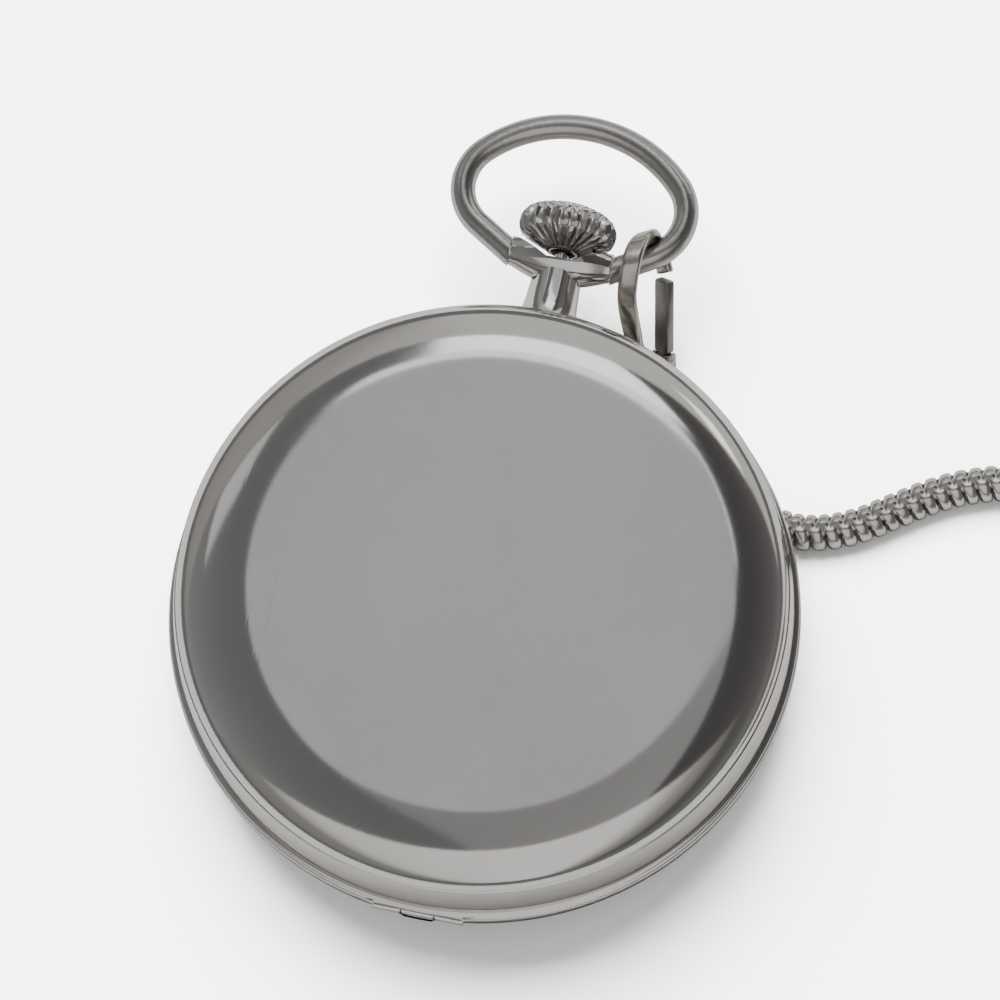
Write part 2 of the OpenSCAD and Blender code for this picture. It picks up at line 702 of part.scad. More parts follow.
module hairspring() color("steelblue") {
    at(balance_at, 11.6) linear_extrude(0.2) polygon(concat(
        [for (i = [0:60]) let (r = 0.75 + 2.6 * i / 60) [r * cos(i * 24), r * sin(i * 24)]],
        [for (i = [60:-1:0]) let (r = 0.85 + 2.6 * i / 60) [r * cos(i * 24), r * sin(i * 24)]]));
}

// ---- Hands and motion work ----

module cannon_pinion() color(dark_steel) {
    difference() {
        union() {
            translate([0, 0, 6.1]) cylinder(r = 0.85, h = 2.3);
            translate([0, 0, 8.08]) toothed(10, 1.2, 0.35, 0.25);
        }
        translate([0, 0, 6]) cylinder(r = 0.53, h = 4);
    }
}

module minute_wheel() color(brass) {
    at(minute_wheel_at) difference() {
        union() {
            translate([0, 0, 8.1]) toothed(30, 2.95, 0.25);
            translate([0, 0, 7.75]) toothed(8, 0.95, 0.45, 0.25);
        }
        translate([0, 0, 7]) cylinder(r = 0.4, h = 3);
    }
}

module hour_wheel() color(brass) {
    difference() {
        union() {
            translate([0, 0, 7.72]) toothed(32, 3.2, 0.25);
            translate([0, 0, 6.55]) cylinder(r = 1.3, h = 1.4);
        }
        translate([0, 0, 6]) cylinder(r = 0.9, h = 3);
    }
}

// Flat hand with a ring round its arbor
module hand(len, w, hub, hole, t) {
    linear_extrude(t) difference() {
        union() {
            circle(r = hub);
            polygon([[-w / 2, 0], [w / 2, 0], [w / 2, len * 0.7], [0, len], [-w / 2, len * 0.7]]);
            polygon([[-w / 3, -hub - 1], [w / 3, -hub - 1], [w / 3, 0], [-w / 3, 0]]);
        }
        circle(r = hole);
    }
}

module hour_hand() color("black") {
    translate([0, 0, 6.58]) rotate([0, 0, -55]) hand(10.5, 0.9, 1.9, 1.3, 0.15);
}

module minute_hand() color("black") {
    translate([0, 0, 6.15]) rotate([0, 0, 60]) hand(minute_len, 0.7, 1.5, 0.85, 0.15);
}

module seconds_hand() color("black") {
    at(fourth_at, 6.95) rotate([0, 0, 180]) hand(3.9, 0.3, 0.6, 0.25, 0.12);
}

// ---- Clasp and chain ----

// Middle line of the hook's strap: up past the pendant, over the bow's wire and down behind it.
// Each entry is a point and the direction that the strap's width takes there.
hook_route = [
    [[8.45, 23.35, 2.1], [0.78, -0.37, 0.5]],
    [[7.4, 23.55, 3.5], [0.78, -0.37, 0.5]],
    [[6.6, 24, 5.3], [0.8, -0.3, 0.45]],
    [[6.3, 24.5, 7], [0.85, -0.1, 0.35]],
    [[5.95, 25.15, 8.8], [0.88, 0, 0.2]],
    [[5.65, 26.1, 10.5], [0.88, 0.25, 0.1]],
    [[5.6, 27.8, 12.05], [0.88, 0.45, 0]],
    [[5.7, 29.45, 12], [0.88, 0.47, 0]],
    [[6, 30.75, 11], [0.88, 0.47, 0]],
    [[6.35, 31.5, 9.25], [0.88, 0.47, 0]],
    [[7, 31, 7.6], [0.85, 0.3, 0.2]],
    [[7.62, 30.1, 6.95], [0.78, -0.2, 0.5]],
    [[7.8, 29.65, 6.8], [0.78, -0.37, 0.5]]
];
hook_steps = 3;
hook_n = (len(hook_route) - 1) * hook_steps;
hook_pts = [for (i = [0:hook_n]) spline_at([for (e = hook_route) e[0]], i / hook_steps)];
hook_ups = [for (i = [0:hook_n]) spline_at([for (e = hook_route) e[1]], i / hook_steps)];
gate_from = [8.75, 24.3, 2.5];
gate_to = [7.87, 29.1, 6.75];
gate_dir = unit(gate_to - gate_from);
gate_len = norm(gate_to - gate_from);
gate_axis = unit([0.781, -0.374, 0.499]);
gate_in = unit(cross(gate_axis, gate_dir));
gate_side = cross(gate_dir, gate_in);

// Places a shape whose Z runs up the gate and whose Y points into the loop
module gate_frame() {
    multmatrix([
        [gate_side[0], gate_in[0], gate_dir[0], gate_from[0]],
        [gate_side[1], gate_in[1], gate_dir[1], gate_from[1]],
        [gate_side[2], gate_in[2], gate_dir[2], gate_from[2]],
        [0, 0, 0, 1]]) children();
}

module across(h, r) {
    rotate([0, 90, 0]) cylinder(r = r, h = h, center = true);
}

module wire_ring(r, wire) {
    rotate_extrude() translate([r, 0]) circle(r = wire, $fn = 24);
}

module clasp_hook() color("darkgray") {
    difference() {
        union() {
            sweep(hook_pts, hook_ups, [for (i = [0:hook_n]) 0.36],
                [for (i = [0:hook_n]) i < 4 ? 0.9 : 0.76 - 0.1 * i / hook_n], 8);
            gate_frame() translate([0, 0, -1.4]) cylinder(r = 0.95, h = 0.92);
            for (side = [-1, 1])
                gate_frame() translate([side * 0.72 - 0.15, -0.5, -1]) cube([0.3, 1, 1.5]);
        }
        gate_frame() across(3, 0.2);
    }
}

module clasp_gate() color("dimgray") {
    gate_frame() difference() {
        union() {
            across(1.04, 0.45);
            translate([-0.52, -0.4, 0]) cube([1.04, 0.8, 1]);
            translate([-0.75, -0.4, 0.6]) cube([1.5, 0.8, gate_len - 0.6]);
        }
        across(3, 0.23);
    }
}

module clasp_gate_pin() color(steel) {
    gate_frame() across(1.74, 0.2);
}

module clasp_swivel() color("darkgray") {
    gate_frame() {
        translate([0, 0, -1.7]) cylinder(r = 0.5, h = 0.3);
        translate([0, 0, -2.3]) rotate([90, 0, 0]) wire_ring(0.62, 0.25);
    }
}

module chain_ring() color("darkgray") {
    translate(ring_at_pos) rotate([0, 30, 41]) wire_ring(0.8, 0.24);
}

module chain_end_cap() color("darkgray") {
    dir = cap_to - cap_from;
    translate(cap_from) rotate([0, 90, atan2(dir[1], dir[0])]) {
        cylinder(r = chain_z, h = norm(dir));
        translate([0.3, 0, -0.6]) rotate([90, 0, 0]) wire_ring(0.56, 0.2);
    }
}

module chain_tube() color("lightgray") {
    pts = [for (p = chain_route) [p[0], p[1], chain_z]];
    sweep(pts, [for (p = pts) [0, 0, 1]], [for (p = pts) chain_z], [for (p = pts) chain_z], 8);
}

module chain_coil() color("lightgray") {
    at(coil_at) rotate_extrude() translate([coil_in_r, 0]) square([coil_turns * chain_d, chain_d]);
}

module far_end_cap() color("darkgray") {
    translate(far_cap_at) rotate([0, 90, 60]) cylinder(r = chain_z, h = far_cap_len);
}

module t_bar() color("darkgray") {
    translate(bar_at) rotate([0, 90, -30]) cylinder(r = bar_wire_r, h = bar_len, center = true);
}

front_lid();
lid_hinge_pin();
case_middle();
back_cover();
bezel();
crystal();
case_gasket();
lock_spring();
fly_spring();
case_screws();
pendant();
stem_sleeve();
bow();
crown_gasket();
crown();
winding_stem();
winding_pinion();
sliding_pinion();
dial();
main_plate();
barrel_bridge();
train_bridge();
balance_cock();
pallet_bridge();
jewels();
bridge_screws();
click_spring();
setting_lever();
regulator();
mainspring_barrel();
barrel_arbor();
mainspring();
ratchet_wheel();
crown_wheel();
click();
centre_wheel();
third_wheel();
fourth_wheel();
escape_wheel();
pallet_fork();
balance_wheel();
balance_staff();
hairspring();
cannon_pinion();
minute_wheel();
hour_wheel();
hour_hand();
minute_hand();
seconds_hand();
clasp_hook();
clasp_gate();
clasp_gate_pin();
clasp_swivel();
chain_ring();
chain_end_cap();
chain_tube();
chain_coil();
far_end_cap();
t_bar();
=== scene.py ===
import json
import math

import bmesh
import bpy
from mathutils import Matrix, Vector


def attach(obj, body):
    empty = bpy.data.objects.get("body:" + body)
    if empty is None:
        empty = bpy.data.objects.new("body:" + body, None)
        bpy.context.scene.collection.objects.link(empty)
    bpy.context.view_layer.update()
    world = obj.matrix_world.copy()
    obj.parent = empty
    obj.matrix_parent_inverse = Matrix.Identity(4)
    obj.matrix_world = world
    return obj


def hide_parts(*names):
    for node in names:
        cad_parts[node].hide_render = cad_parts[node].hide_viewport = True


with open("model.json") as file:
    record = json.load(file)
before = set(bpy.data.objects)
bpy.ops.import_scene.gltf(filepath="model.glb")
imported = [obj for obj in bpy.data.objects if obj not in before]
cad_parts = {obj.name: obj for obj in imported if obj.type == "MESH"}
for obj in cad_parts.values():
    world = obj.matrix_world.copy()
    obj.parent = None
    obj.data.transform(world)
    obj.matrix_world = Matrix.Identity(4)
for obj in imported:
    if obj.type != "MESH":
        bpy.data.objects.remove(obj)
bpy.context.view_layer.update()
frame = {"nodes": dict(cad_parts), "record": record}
nodes = frame["nodes"]
MM = 0.001


def v3(x, y, z=0.0):
    return Vector((x * MM, y * MM, z * MM))


# ---------------------------------------------------------------- camera

# The picture is 1 / PER_METRE wide at the case, whose middle is a little off the picture's
AZ, EL, ROLL, DIST = math.radians(19.84), math.radians(72.8), math.radians(8), 0.6
AIM_RIGHT, AIM_UP, SENSOR, PER_METRE = 1.17, 8.8, 36, 13.18
case_mid = v3(0, 0, 6.6)
back = Vector((math.sin(AZ) * math.cos(EL), -math.cos(AZ) * math.cos(EL), math.sin(EL)))
right0 = Vector((math.cos(AZ), math.sin(AZ), 0))
up0 = back.cross(right0)
cam_up = up0 * math.cos(ROLL) + right0 * math.sin(ROLL)
cam_right = cam_up.cross(back)
aim = case_mid + cam_right * AIM_RIGHT * MM + cam_up * AIM_UP * MM
cam_data = bpy.data.cameras.new("camera")
cam = bpy.data.objects.new("camera", cam_data)
bpy.context.scene.collection.objects.link(cam)
cam.location = case_mid + back * DIST
look = (aim - cam.location).normalized()
side = look.cross(cam_up).normalized()
top = side.cross(look)
cam.matrix_world = Matrix((
    (side.x, top.x, -look.x, cam.location.x),
    (side.y, top.y, -look.y, cam.location.y),
    (side.z, top.z, -look.z, cam.location.z),
    (0, 0, 0, 1)))
cam_data.sensor_width = SENSOR
cam_data.lens = SENSOR * PER_METRE * DIST
cam_data.clip_start = 0.01
cam_data.clip_end = 20
bpy.context.scene.camera = cam


# ---------------------------------------------------------------- mesh helpers

def new_object(name, verts, faces, mat=None, smooth=True, sharp=35):
    """Puts a mesh in the scene; edges bent more than sharp degrees are kept crisp."""
    me = bpy.data.meshes.new(name)
    me.from_pydata([tuple(v) for v in verts], [], faces)
    me.validate()
    me.update()
    ob = bpy.data.objects.new(name, me)
    bpy.context.scene.collection.objects.link(ob)
    if smooth:
        me.shade_smooth()
        if sharp:
            me.set_sharp_from_angle(angle=math.radians(sharp))
    if mat:
        me.materials.append(mat)
    return ob


def lathe(name, profile, mat, seg=160, move=None, sharp=35):
    """Turns a closed profile of (radius, height) in mm round a vertical axis; move places each point."""
    verts, faces, n = [], [], len(profile)
    for s in range(seg):
        a = 2 * math.pi * s / seg
        for k, (r, z) in enumerate(profile):
            p = [r * math.cos(a), r * math.sin(a), z]
            if move:
                p = move(p)
            verts.append(v3(*p))
    for s in range(seg):
        s2 = (s + 1) % seg
        for k in range(n):
            k2 = (k + 1) % n
            quad = [s * n + k, s2 * n + k, s2 * n + k2, s * n + k2]
            if profile[k][0] < 1e-6 and profile[k2][0] < 1e-6:
                continue
            if profile[k][0] < 1e-6:
                quad = [s * n + k, s2 * n + k2, s * n + k2]
            elif profile[k2][0] < 1e-6:
                quad = [s * n + k, s2 * n + k, s * n + k2]
            faces.append(quad)
    ob = new_object(name, verts, faces, mat, sharp=0)
    bm = bmesh.new()
    bm.from_mesh(ob.data)
    bmesh.ops.remove_doubles(bm, verts=bm.verts, dist=1e-7)
    bmesh.ops.recalc_face_normals(bm, faces=bm.faces)
    bm.to_mesh(ob.data)
    bm.free()
    ob.data.shade_smooth()
    ob.data.set_sharp_from_angle(angle=math.radians(sharp))
    return ob


def frames(pts, ups=None):
    """Point, direction, side and up along a line; ups gives an upward direction at each point."""
    out = []
    for i, p in enumerate(pts):
        d = (pts[min(i + 1, len(pts) - 1)] - pts[max(i - 1, 0)]).normalized()
        u = ups[i] if ups else Vector((0, 0, 1))
        s = d.cross(u).normalized()
        out.append((p, d, s, s.cross(d).normalized()))
    return out


def sweep(name, pts, section, mat, ups=None, sharp=40, scale=None):
    """Carries a closed section of (side, up) offsets in mm along points in metres."""
    m = len(section)
    verts, faces = [], []
    for i, (p, d, s, t) in enumerate(frames(pts, ups)):
        g = scale[i] if scale else 1.0
        for a, b in section:
            verts.append(p + s * a * g * MM + t * b * g * MM)
    n = len(pts)
    for i in range(n - 1):
        for k in range(m):
            k2 = (k + 1) % m
            faces.append([i * m + k, (i + 1) * m + k, (i + 1) * m + k2, i * m + k2])
    faces.append(list(range(m)))
    faces.append([(n - 1) * m + k for k in range(m - 1, -1, -1)])
    return new_object(name, verts, faces, mat, sharp=sharp)


def circle_section(r, n):
    return [(r * math.cos(2 * math.pi * k / n), r * math.sin(2 * math.pi * k / n)) for k in range(n)]


def round_box(w, h, r, n):
    """Rounded rectangle section, w by h, in mm."""
    out = []
    x, y = w / 2 - r, h / 2 - r
    for cx, cy, a0 in ((x, y, 0), (-x, y, 90), (-x, -y, 180), (x, -y, 270)):
        for k in range(n + 1):
            a = math.radians(a0 + 90 * k / n)
            out.append((cx + r * math.cos(a), cy + r * math.sin(a)))
    return out


def catmull(pts, per):
    """Smooth curve through the points, with so many steps between two of them."""
    out = []
    n = len(pts) - 1
    for i in range(n):
        a, b, c, d = pts[max(i - 1, 0)], pts[i], pts[i + 1], pts[min(i + 2, n)]
        for k in range(per):
            u = k / per
            square, cube = 2 * a - 5 * b + 4 * c - d, 3 * b - a - 3 * c + d
            out.append(0.5 * (2 * b + (c - a) * u + square * u * u + cube * u ** 3))
    out.append(pts[-1].copy())
    return out


def resample(pts, step):
    """Evenly spaced points along a line of points, and the line's length."""
    dist = [0.0]
    for a, b in zip(pts, pts[1:]):
        dist.append(dist[-1] + (b - a).length)
    total = dist[-1]
    count = max(2, round(total / step))
    out, j = [], 0
    for k in range(count + 1):
        want = total * k / count
        while j < len(pts) - 2 and dist[j + 1] < want:
            j += 1
        span = dist[j + 1] - dist[j]
        out.append(pts[j].lerp(pts[j + 1], (want - dist[j]) / span if span > 0 else 0))
    return out, total


def direction_flat(angle):
    """Unit vector in the floor's plane, so many degrees from +X."""
    return Vector((math.cos(math.radians(angle)), math.sin(math.radians(angle)), 0))


def join_parts(name, parts):
    """Joins several mesh objects into one piece."""
    bpy.ops.object.select_all(action="DESELECT")
    for p in parts:
        p.select_set(True)
    bpy.context.view_layer.objects.active = parts[0]
    bpy.ops.object.join()
    parts[0].name = name
    return parts[0]


def done(ob, body, slot, *replaced):
    """Hands a piece over: the body it rides and the nodes it stands for; slot is not used."""
    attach(ob, body)
    if replaced:
        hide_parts(*replaced)
    return ob


# ---------------------------------------------------------------- materials

def node_mat(name):
    """New material, its node tree and its Principled shader."""
    m = bpy.data.materials.new(name)
    m.use_nodes = True
    nt = m.node_tree
    return m, nt, nt.nodes["Principled BSDF"]


def link_noise(nt, scale, detail=6.0, rough=0.6):
    """Noise texture in the object's own space."""
    co = nt.nodes.new("ShaderNodeTexCoord")
    no = nt.nodes.new("ShaderNodeTexNoise")
    no.inputs["Scale"].default_value = scale
    no.inputs["Detail"].default_value = detail
    no.inputs["Roughness"].default_value = rough
    nt.links.new(co.outputs["Object"], no.inputs["Vector"])
    return no


def ramp(nt, src, stops):
    """Colour ramp on a value, with stops of (position, colour)."""
    r = nt.nodes.new("ShaderNodeValToRGB")
    el = r.color_ramp.elements
    while len(el) > len(stops):
        el.remove(el[-1])
    while len(el) < len(stops):
        el.new(0.5)
    for e, (pos, col) in zip(el, stops):
        e.position = pos
        e.color = (*col, 1)
    nt.links.new(src, r.inputs["Fac"])
    return r


def grey(v):
    return (v, v, v)


def mottled(name, scale, low, high, roughness, detail=6.0, rough=0.6, **sockets):
    """Plain material whose colour wanders between two values; sockets are set by name."""
    m, nt, b = node_mat(name)
    noise = link_noise(nt, scale, detail, rough)
    col = ramp(nt, noise.outputs["Fac"], [(0.3, low), (0.7, high)])
    nt.links.new(col.outputs["Color"], b.inputs["Base Color"])
    b.inputs["Roughness"].default_value = roughness
    for socket, value in sockets.items():
        b.inputs[socket.replace("_", " ")].default_value = value
    return m


# Noise scale of a metal's blotches, its bump's height in metres, and its scratches as (angle, noise scale)
BLOTCH, BUMP_HEIGHT, SCRATCHES = 60, 0.0002, ((0.4, 1040), (1.7, 1320), (2.6, 840))


def metal(name, base, dark, rough, grain, bump, scratch=0.0):
    """Metal with a mottled colour, uneven roughness, fine grain and, if asked, hairline scratches."""
    m, nt, b = node_mat(name)
    b.inputs["Metallic"].default_value = 1.0
    big = link_noise(nt, BLOTCH, 5, 0.65)
    col = ramp(nt, big.outputs["Fac"], [(0.3, dark), (0.7, base)])
    nt.links.new(col.outputs["Color"], b.inputs["Base Color"])
    ro = ramp(nt, big.outputs["Fac"], [(0.25, grey(rough[1])), (0.75, grey(rough[0]))])
    nt.links.new(ro.outputs["Color"], b.inputs["Roughness"])
    fine = link_noise(nt, grain, 4, 0.6)
    bp = nt.nodes.new("ShaderNodeBump")
    bp.inputs["Strength"].default_value = bump
    bp.inputs["Distance"].default_value = BUMP_HEIGHT
    height = fine.outputs["Fac"]
    if scratch:
        co = nt.nodes.new("ShaderNodeTexCoord")
        total = None
        for ang, sc in SCRATCHES:
            mp = nt.nodes.new("ShaderNodeMapping")
            mp.inputs["Rotation"].default_value = (0, 0, ang)
            mp.inputs["Scale"].default_value = (1, 0.03, 1)
            vo = nt.nodes.new("ShaderNodeTexNoise")
            vo.inputs["Scale"].default_value = sc
            vo.inputs["Detail"].default_value = 1
            nt.links.new(co.outputs["Object"], mp.inputs["Vector"])
            nt.links.new(mp.outputs["Vector"], vo.inputs["Vector"])
            line = ramp(nt, vo.outputs["Fac"], [(0.70, grey(0)), (0.735, grey(1))])
            if total is None:
                total = line.outputs["Color"]
            else:
                ad = nt.nodes.new("ShaderNodeMath")
                ad.operation = "MAXIMUM"
                nt.links.new(total, ad.inputs[0])
                nt.links.new(line.outputs["Color"], ad.inputs[1])
                total = ad.outputs[0]
        mul = nt.nodes.new("ShaderNodeMath")
        mul.operation = "MULTIPLY_ADD"
        mul.inputs[1].default_value = -scratch
        nt.links.new(total, mul.inputs[0])
        nt.links.new(height, mul.inputs[2])
        height = mul.outputs[0]
    nt.links.new(height, bp.inputs["Height"])
    nt.links.new(bp.outputs["Normal"], b.inputs["Normal"])
    return m


case_mat = metal("case_polish", (0.66, 0.645, 0.63), (0.60, 0.585, 0.57), (0.08, 0.12), 700, 0.012, scratch=0.5)
bow_mat = metal("bow_satin", (0.50, 0.49, 0.475), (0.42, 0.41, 0.40), (0.20, 0.30), 1600, 0.10)
clasp_mat = metal("clasp_satin", (0.50, 0.48, 0.44), (0.38, 0.36, 0.33), (0.20, 0.32), 1500, 0.12)
gate_mat = metal("gate_dark", (0.27, 0.26, 0.25), (0.17, 0.165, 0.16), (0.25, 0.38), 1500, 0.15)
chain_mat = metal("chain_polish", (0.66, 0.64, 0.60), (0.54, 0.52, 0.48), (0.17, 0.26), 1800, 0.05)
# Dark copy of the chain's steel: painted shade for the deep faces of the joints between the links
chain_painted_shade = metal("chain_joint_painted_shade", (0.16, 0.15, 0.14), (0.08, 0.075, 0.07), (0.35, 0.5), 1800, 0.05)
plate_mat = metal("plate_gilt", (0.80, 0.68, 0.42), (0.72, 0.60, 0.36), (0.22, 0.34), 2600, 0.25)
wheel_mat = metal("wheel_brass", (0.83, 0.66, 0.34), (0.74, 0.57, 0.28), (0.14, 0.24), 1800, 0.08)
steel_mat = metal("movement_steel", (0.62, 0.62, 0.63), (0.54, 0.54, 0.55), (0.10, 0.20), 1500, 0.05)
blue_mat = metal("blued_steel", (0.05, 0.08, 0.32), (0.03, 0.04, 0.18), (0.10, 0.18), 1200, 0.03)
black_mat = mottled("hand_black", 900, (0.008, 0.008, 0.01), (0.02, 0.02, 0.024), 0.25)
rubber_mat = mottled("seal_rubber", 1400, (0.012, 0.012, 0.012), (0.03, 0.03, 0.03), 0.75)
ruby_mat = mottled("ruby", 700, (0.42, 0.01, 0.05), (0.60, 0.02, 0.10), 0.06, Transmission_Weight=0.35)
dial_mat = mottled("dial_enamel", 260, (0.80, 0.78, 0.73), (0.86, 0.845, 0.80), 0.18, Coat_Weight=0.5)
glass_mat, glass_tree, glass = node_mat("crystal_clear")
glass_noise = link_noise(glass_tree, 300)
glass_rough = ramp(glass_tree, glass_noise.outputs["Fac"], [(0.3, grey(0.02)), (0.7, grey(0.05))])
glass_tree.links.new(glass_rough.outputs["Color"], glass.inputs["Roughness"])
glass.inputs["Base Color"].default_value = (0.97, 0.985, 0.985, 1)
glass.inputs["Transmission Weight"].default_value = 1.0
glass.inputs["IOR"].default_value = 1.45

slot_mat = {
    "case_steel": case_mat, "bow_steel": bow_mat, "clasp_steel": clasp_mat, "gate_steel": gate_mat,
    "chain_steel": chain_mat, "plate_brass": plate_mat, "wheel_brass": wheel_mat,
    "movement_steel": steel_mat, "blued_steel": blue_mat, "ruby": ruby_mat,
    "crystal_clear": glass_mat, "dial_enamel": dial_mat, "hand_black": black_mat, "seal_rubber": rubber_mat}
for sub in frame["record"]["subparts"]:
    me = nodes[sub["node"]].data
    me.materials.clear()
    me.materials.append(slot_mat[sub["material_slot"]])

# ---------------------------------------------------------------- chain

CHAIN_D = 2.8
CZ = CHAIN_D / 2
route = [
    (12.3, 19.2), (13.8, 17.4), (15.4, 15.8), (17.2, 14.3), (19.3, 13.2), (21.6, 12.9), (23.9, 13.35),
    (26.2, 14.4), (28.4, 15.9), (30.5, 17.35), (32.7, 18.6), (35, 19.5), (37.5, 20.15), (40, 20.45),
    (43, 20.6), (46, 20.55), (49, 20.45), (52, 20.4), (55.5, 20.4), (59, 20.4)]
coil_x, coil_y, coil_r, COIL_STEPS, END_STEPS, END_TURN = 59.0, 3.1, 17.3, 180, 30, 150
# The free run, two and a half turns of coil, and a tighter turn inwards to the far end
free_line = catmull([v3(x, y, CZ) for x, y in route], 8)
turn = 870
coil_line = []
for k in range(1, COIL_STEPS + 1):
    a = turn * k / COIL_STEPS
    r = coil_r - CHAIN_D * a / 360
    out_dir = math.radians(90 - a)
    coil_line.append(v3(coil_x + r * math.cos(out_dir), coil_y + r * math.sin(out_dir), CZ))
r_in = coil_r - CHAIN_D * turn / 360
bend = 5.8
bx = coil_x + (r_in - bend) * math.cos(math.radians(90 - turn))
by = coil_y + (r_in - bend) * math.sin(math.radians(90 - turn))
end_line = []
for k in range(1, END_STEPS + 1):
    a = math.radians(90 - turn - END_TURN * k / END_STEPS)
    end_line.append(v3(bx + bend * math.cos(a), by + bend * math.sin(a), CZ))
whole, chain_len = resample(free_line + coil_line + end_line, 0.4 * MM)

# The links' two sides lie half a pitch apart, meet in a seam along the top and the bottom, and lean back
# towards the bottom. Their joints are shallow on top and deeper down the sides.
PITCH, AROUND, PER_PITCH = 1.12, 36, 9
# The last depth here is where a joint's faces turn to painted shade
TOP_JOINT, SIDE_JOINT, SEAM_DIP, SEAM_WIDTH, SHADE_DIP = 0.10, 0.34, 0.20, 0.10, 0.19
pitches = round(chain_len / MM / PITCH)
line, _ = resample(whole, chain_len / (pitches * PER_PITCH))
verts, faces, dips = [], [], []
for i, (p, d, s, t) in enumerate(frames(line)):
    along = i / PER_PITCH
    for k in range(AROUND):
        phi = 2 * math.pi * k / AROUND
        u = (phi if phi <= math.pi else 2 * math.pi - phi) / math.pi
        lean = 0.26 * math.sin(math.pi * min(1, u * 1.05)) + 0.2 * u
        ph = (along - lean + (0 if phi <= math.pi else 0.5)) % 1.0
        x = abs(2 * ph - 1)
        open_side = min(1.0, max(0.0, (u - 0.06) / 0.2))
        dip = (TOP_JOINT + SIDE_JOINT * open_side) * x ** 5 + 0.06 * x * x
        seam = min(abs(phi), abs(phi - 2 * math.pi), abs(phi - math.pi))
        dip = max(dip, SEAM_DIP * math.exp(-(seam / SEAM_WIDTH) ** 2))
        r = CZ - dip
        dips.append(dip)
        verts.append(p + (s * math.sin(phi) + t * math.cos(phi)) * r * MM)
n = len(line)
for i in range(n - 1):
    for k in range(AROUND):
        k2 = (k + 1) % AROUND
        faces.append([i * AROUND + k, i * AROUND + k2, (i + 1) * AROUND + k2, (i + 1) * AROUND + k])
faces.append(list(range(AROUND - 1, -1, -1)))
faces.append([(n - 1) * AROUND + k for k in range(AROUND)])
chain = new_object("snake_chain", verts, faces, chain_mat, sharp=0)
chain.data.materials.append(chain_painted_shade)
# Faces sunk deep into the joints take the dark copy of the steel: painted shade in the recesses between the links
for f in chain.data.polygons:
    if sum(dips[j] for j in f.vertices) / len(f.vertices) > SHADE_DIP:
        f.material_index = 1
done(chain, "watch", "chain_steel", "chain_tube", "chain_coil")

# ---------------------------------------------------------------- case

CASE_R, CASE_H, WAIST_Z, REST_R, WALL = 24.0, 14.6, 6.6, 9.0, 0.75
COVER_R, SEAM_Z, FLAT_R, LID_RIM_Z, LIP_Z, BORE_R = 23.1, 12.0, 17.2, 7.2, 7.4, 20.6
HINGE_Y, HINGE_Z, KNUCKLE_R, HINGE_HALF, MID_KNUCKLE = -23.25, 6.5, 0.75, 3.5, 1.25
STEM_Z, BOW_Y = 9.2, 28.3


def ellipse(cx, cz, a, b, start, stop, n):
    """Points of an elliptical arc, both ends included; angles in degrees."""
    angles = [math.radians(start + (stop - start) * k / n) for k in range(n + 1)]
    return [(cx + a * math.cos(t), cz + b * math.sin(t)) for t in angles]


def about_x(x0, y0, z0):
    """Turns a lathed shape so that its axis runs along X from the given point."""
    return lambda p: [x0 + p[2], y0 + p[0], z0 + p[1]]


def about_y(x0, y0, z0):
    """Turns a lathed shape so that its axis runs along Y from the given point."""
    return lambda p: [x0 + p[1], y0 + p[2], z0 + p[0]]


def about(origin, axis):
    """Turns a lathed shape so that its axis runs along any direction from a point in mm."""
    turn = Vector(axis).normalized().to_track_quat("Z", "Y").to_matrix()
    return lambda p: list(turn @ Vector(p) + Vector(origin))


def cut(ob, cutter):
    """Takes one closed mesh away from another and removes the cutter."""
    mod = ob.modifiers.new("cut", "BOOLEAN")
    mod.operation = "DIFFERENCE"
    mod.solver = "EXACT"
    mod.object = cutter
    bpy.context.view_layer.objects.active = ob
    bpy.ops.object.modifier_apply(modifier=mod.name)
    bpy.data.objects.remove(cutter)
    ob.data.set_sharp_from_angle(angle=math.radians(28))


# The back: a nearly flat dome that runs into a broad rounded shoulder
dome_drop = 0.15
back_outer = [(FLAT_R * k / 12, CASE_H - dome_drop * (k / 12) ** 2) for k in range(13)]
shoulder_w, shoulder_h = COVER_R - FLAT_R, CASE_H - dome_drop - SEAM_Z
back_shoulder = ellipse(FLAT_R, SEAM_Z, shoulder_w, shoulder_h, 90, 3, 36)[1:]
back_edge = [(COVER_R, SEAM_Z + 0.09), (COVER_R - 0.06, SEAM_Z + 0.05), (COVER_R - WALL, SEAM_Z + 0.05)]
back_inner = ellipse(FLAT_R, SEAM_Z, shoulder_w - WALL, shoulder_h - WALL, 8, 90, 12)
back_profile = back_outer + back_shoulder + back_edge + back_inner + [(0, CASE_H - WALL - 0.05)]
done(lathe("back_cover_shell", back_profile, case_mat, seg=224, sharp=50), "back", "case_steel", "back_cover")

# The middle: a lip over the lid, a hairline groove and a slightly barrelled band up to the seam
inner_wall = [(BORE_R, 5.3), (22.0, 5.3), (22.2, 5.4), (22.2, LIP_Z)]
lip = [(CASE_R - inset, LIP_Z + rise) for inset, rise in
       ((0.2, 0), (0.12, 0.05), (0.1, 0.14), (0.14, 0.24), (0.24, 0.31), (0.44, 0.36))]
band = [(CASE_R - 0.44 - 0.36 * (k / 12) ** 1.7, LIP_Z + 0.5 + (SEAM_Z - LIP_Z - 0.62) * k / 12)
        for k in range(13)]
seam = [(COVER_R - 0.04, SEAM_Z - 0.04), (COVER_R - 0.12, SEAM_Z), (BORE_R, SEAM_Z)]
middle = lathe("case_middle_band", inner_wall + lip + band + seam, case_mat, seg=224, sharp=40)
cut(middle, lathe("stem_hole", [(0, 0), (1.5, 0), (1.5, 6), (0, 6)], case_mat, seg=32,
                  move=about_y(0, BORE_R - 2, STEM_Z)))
knuckle_edge = 0.08


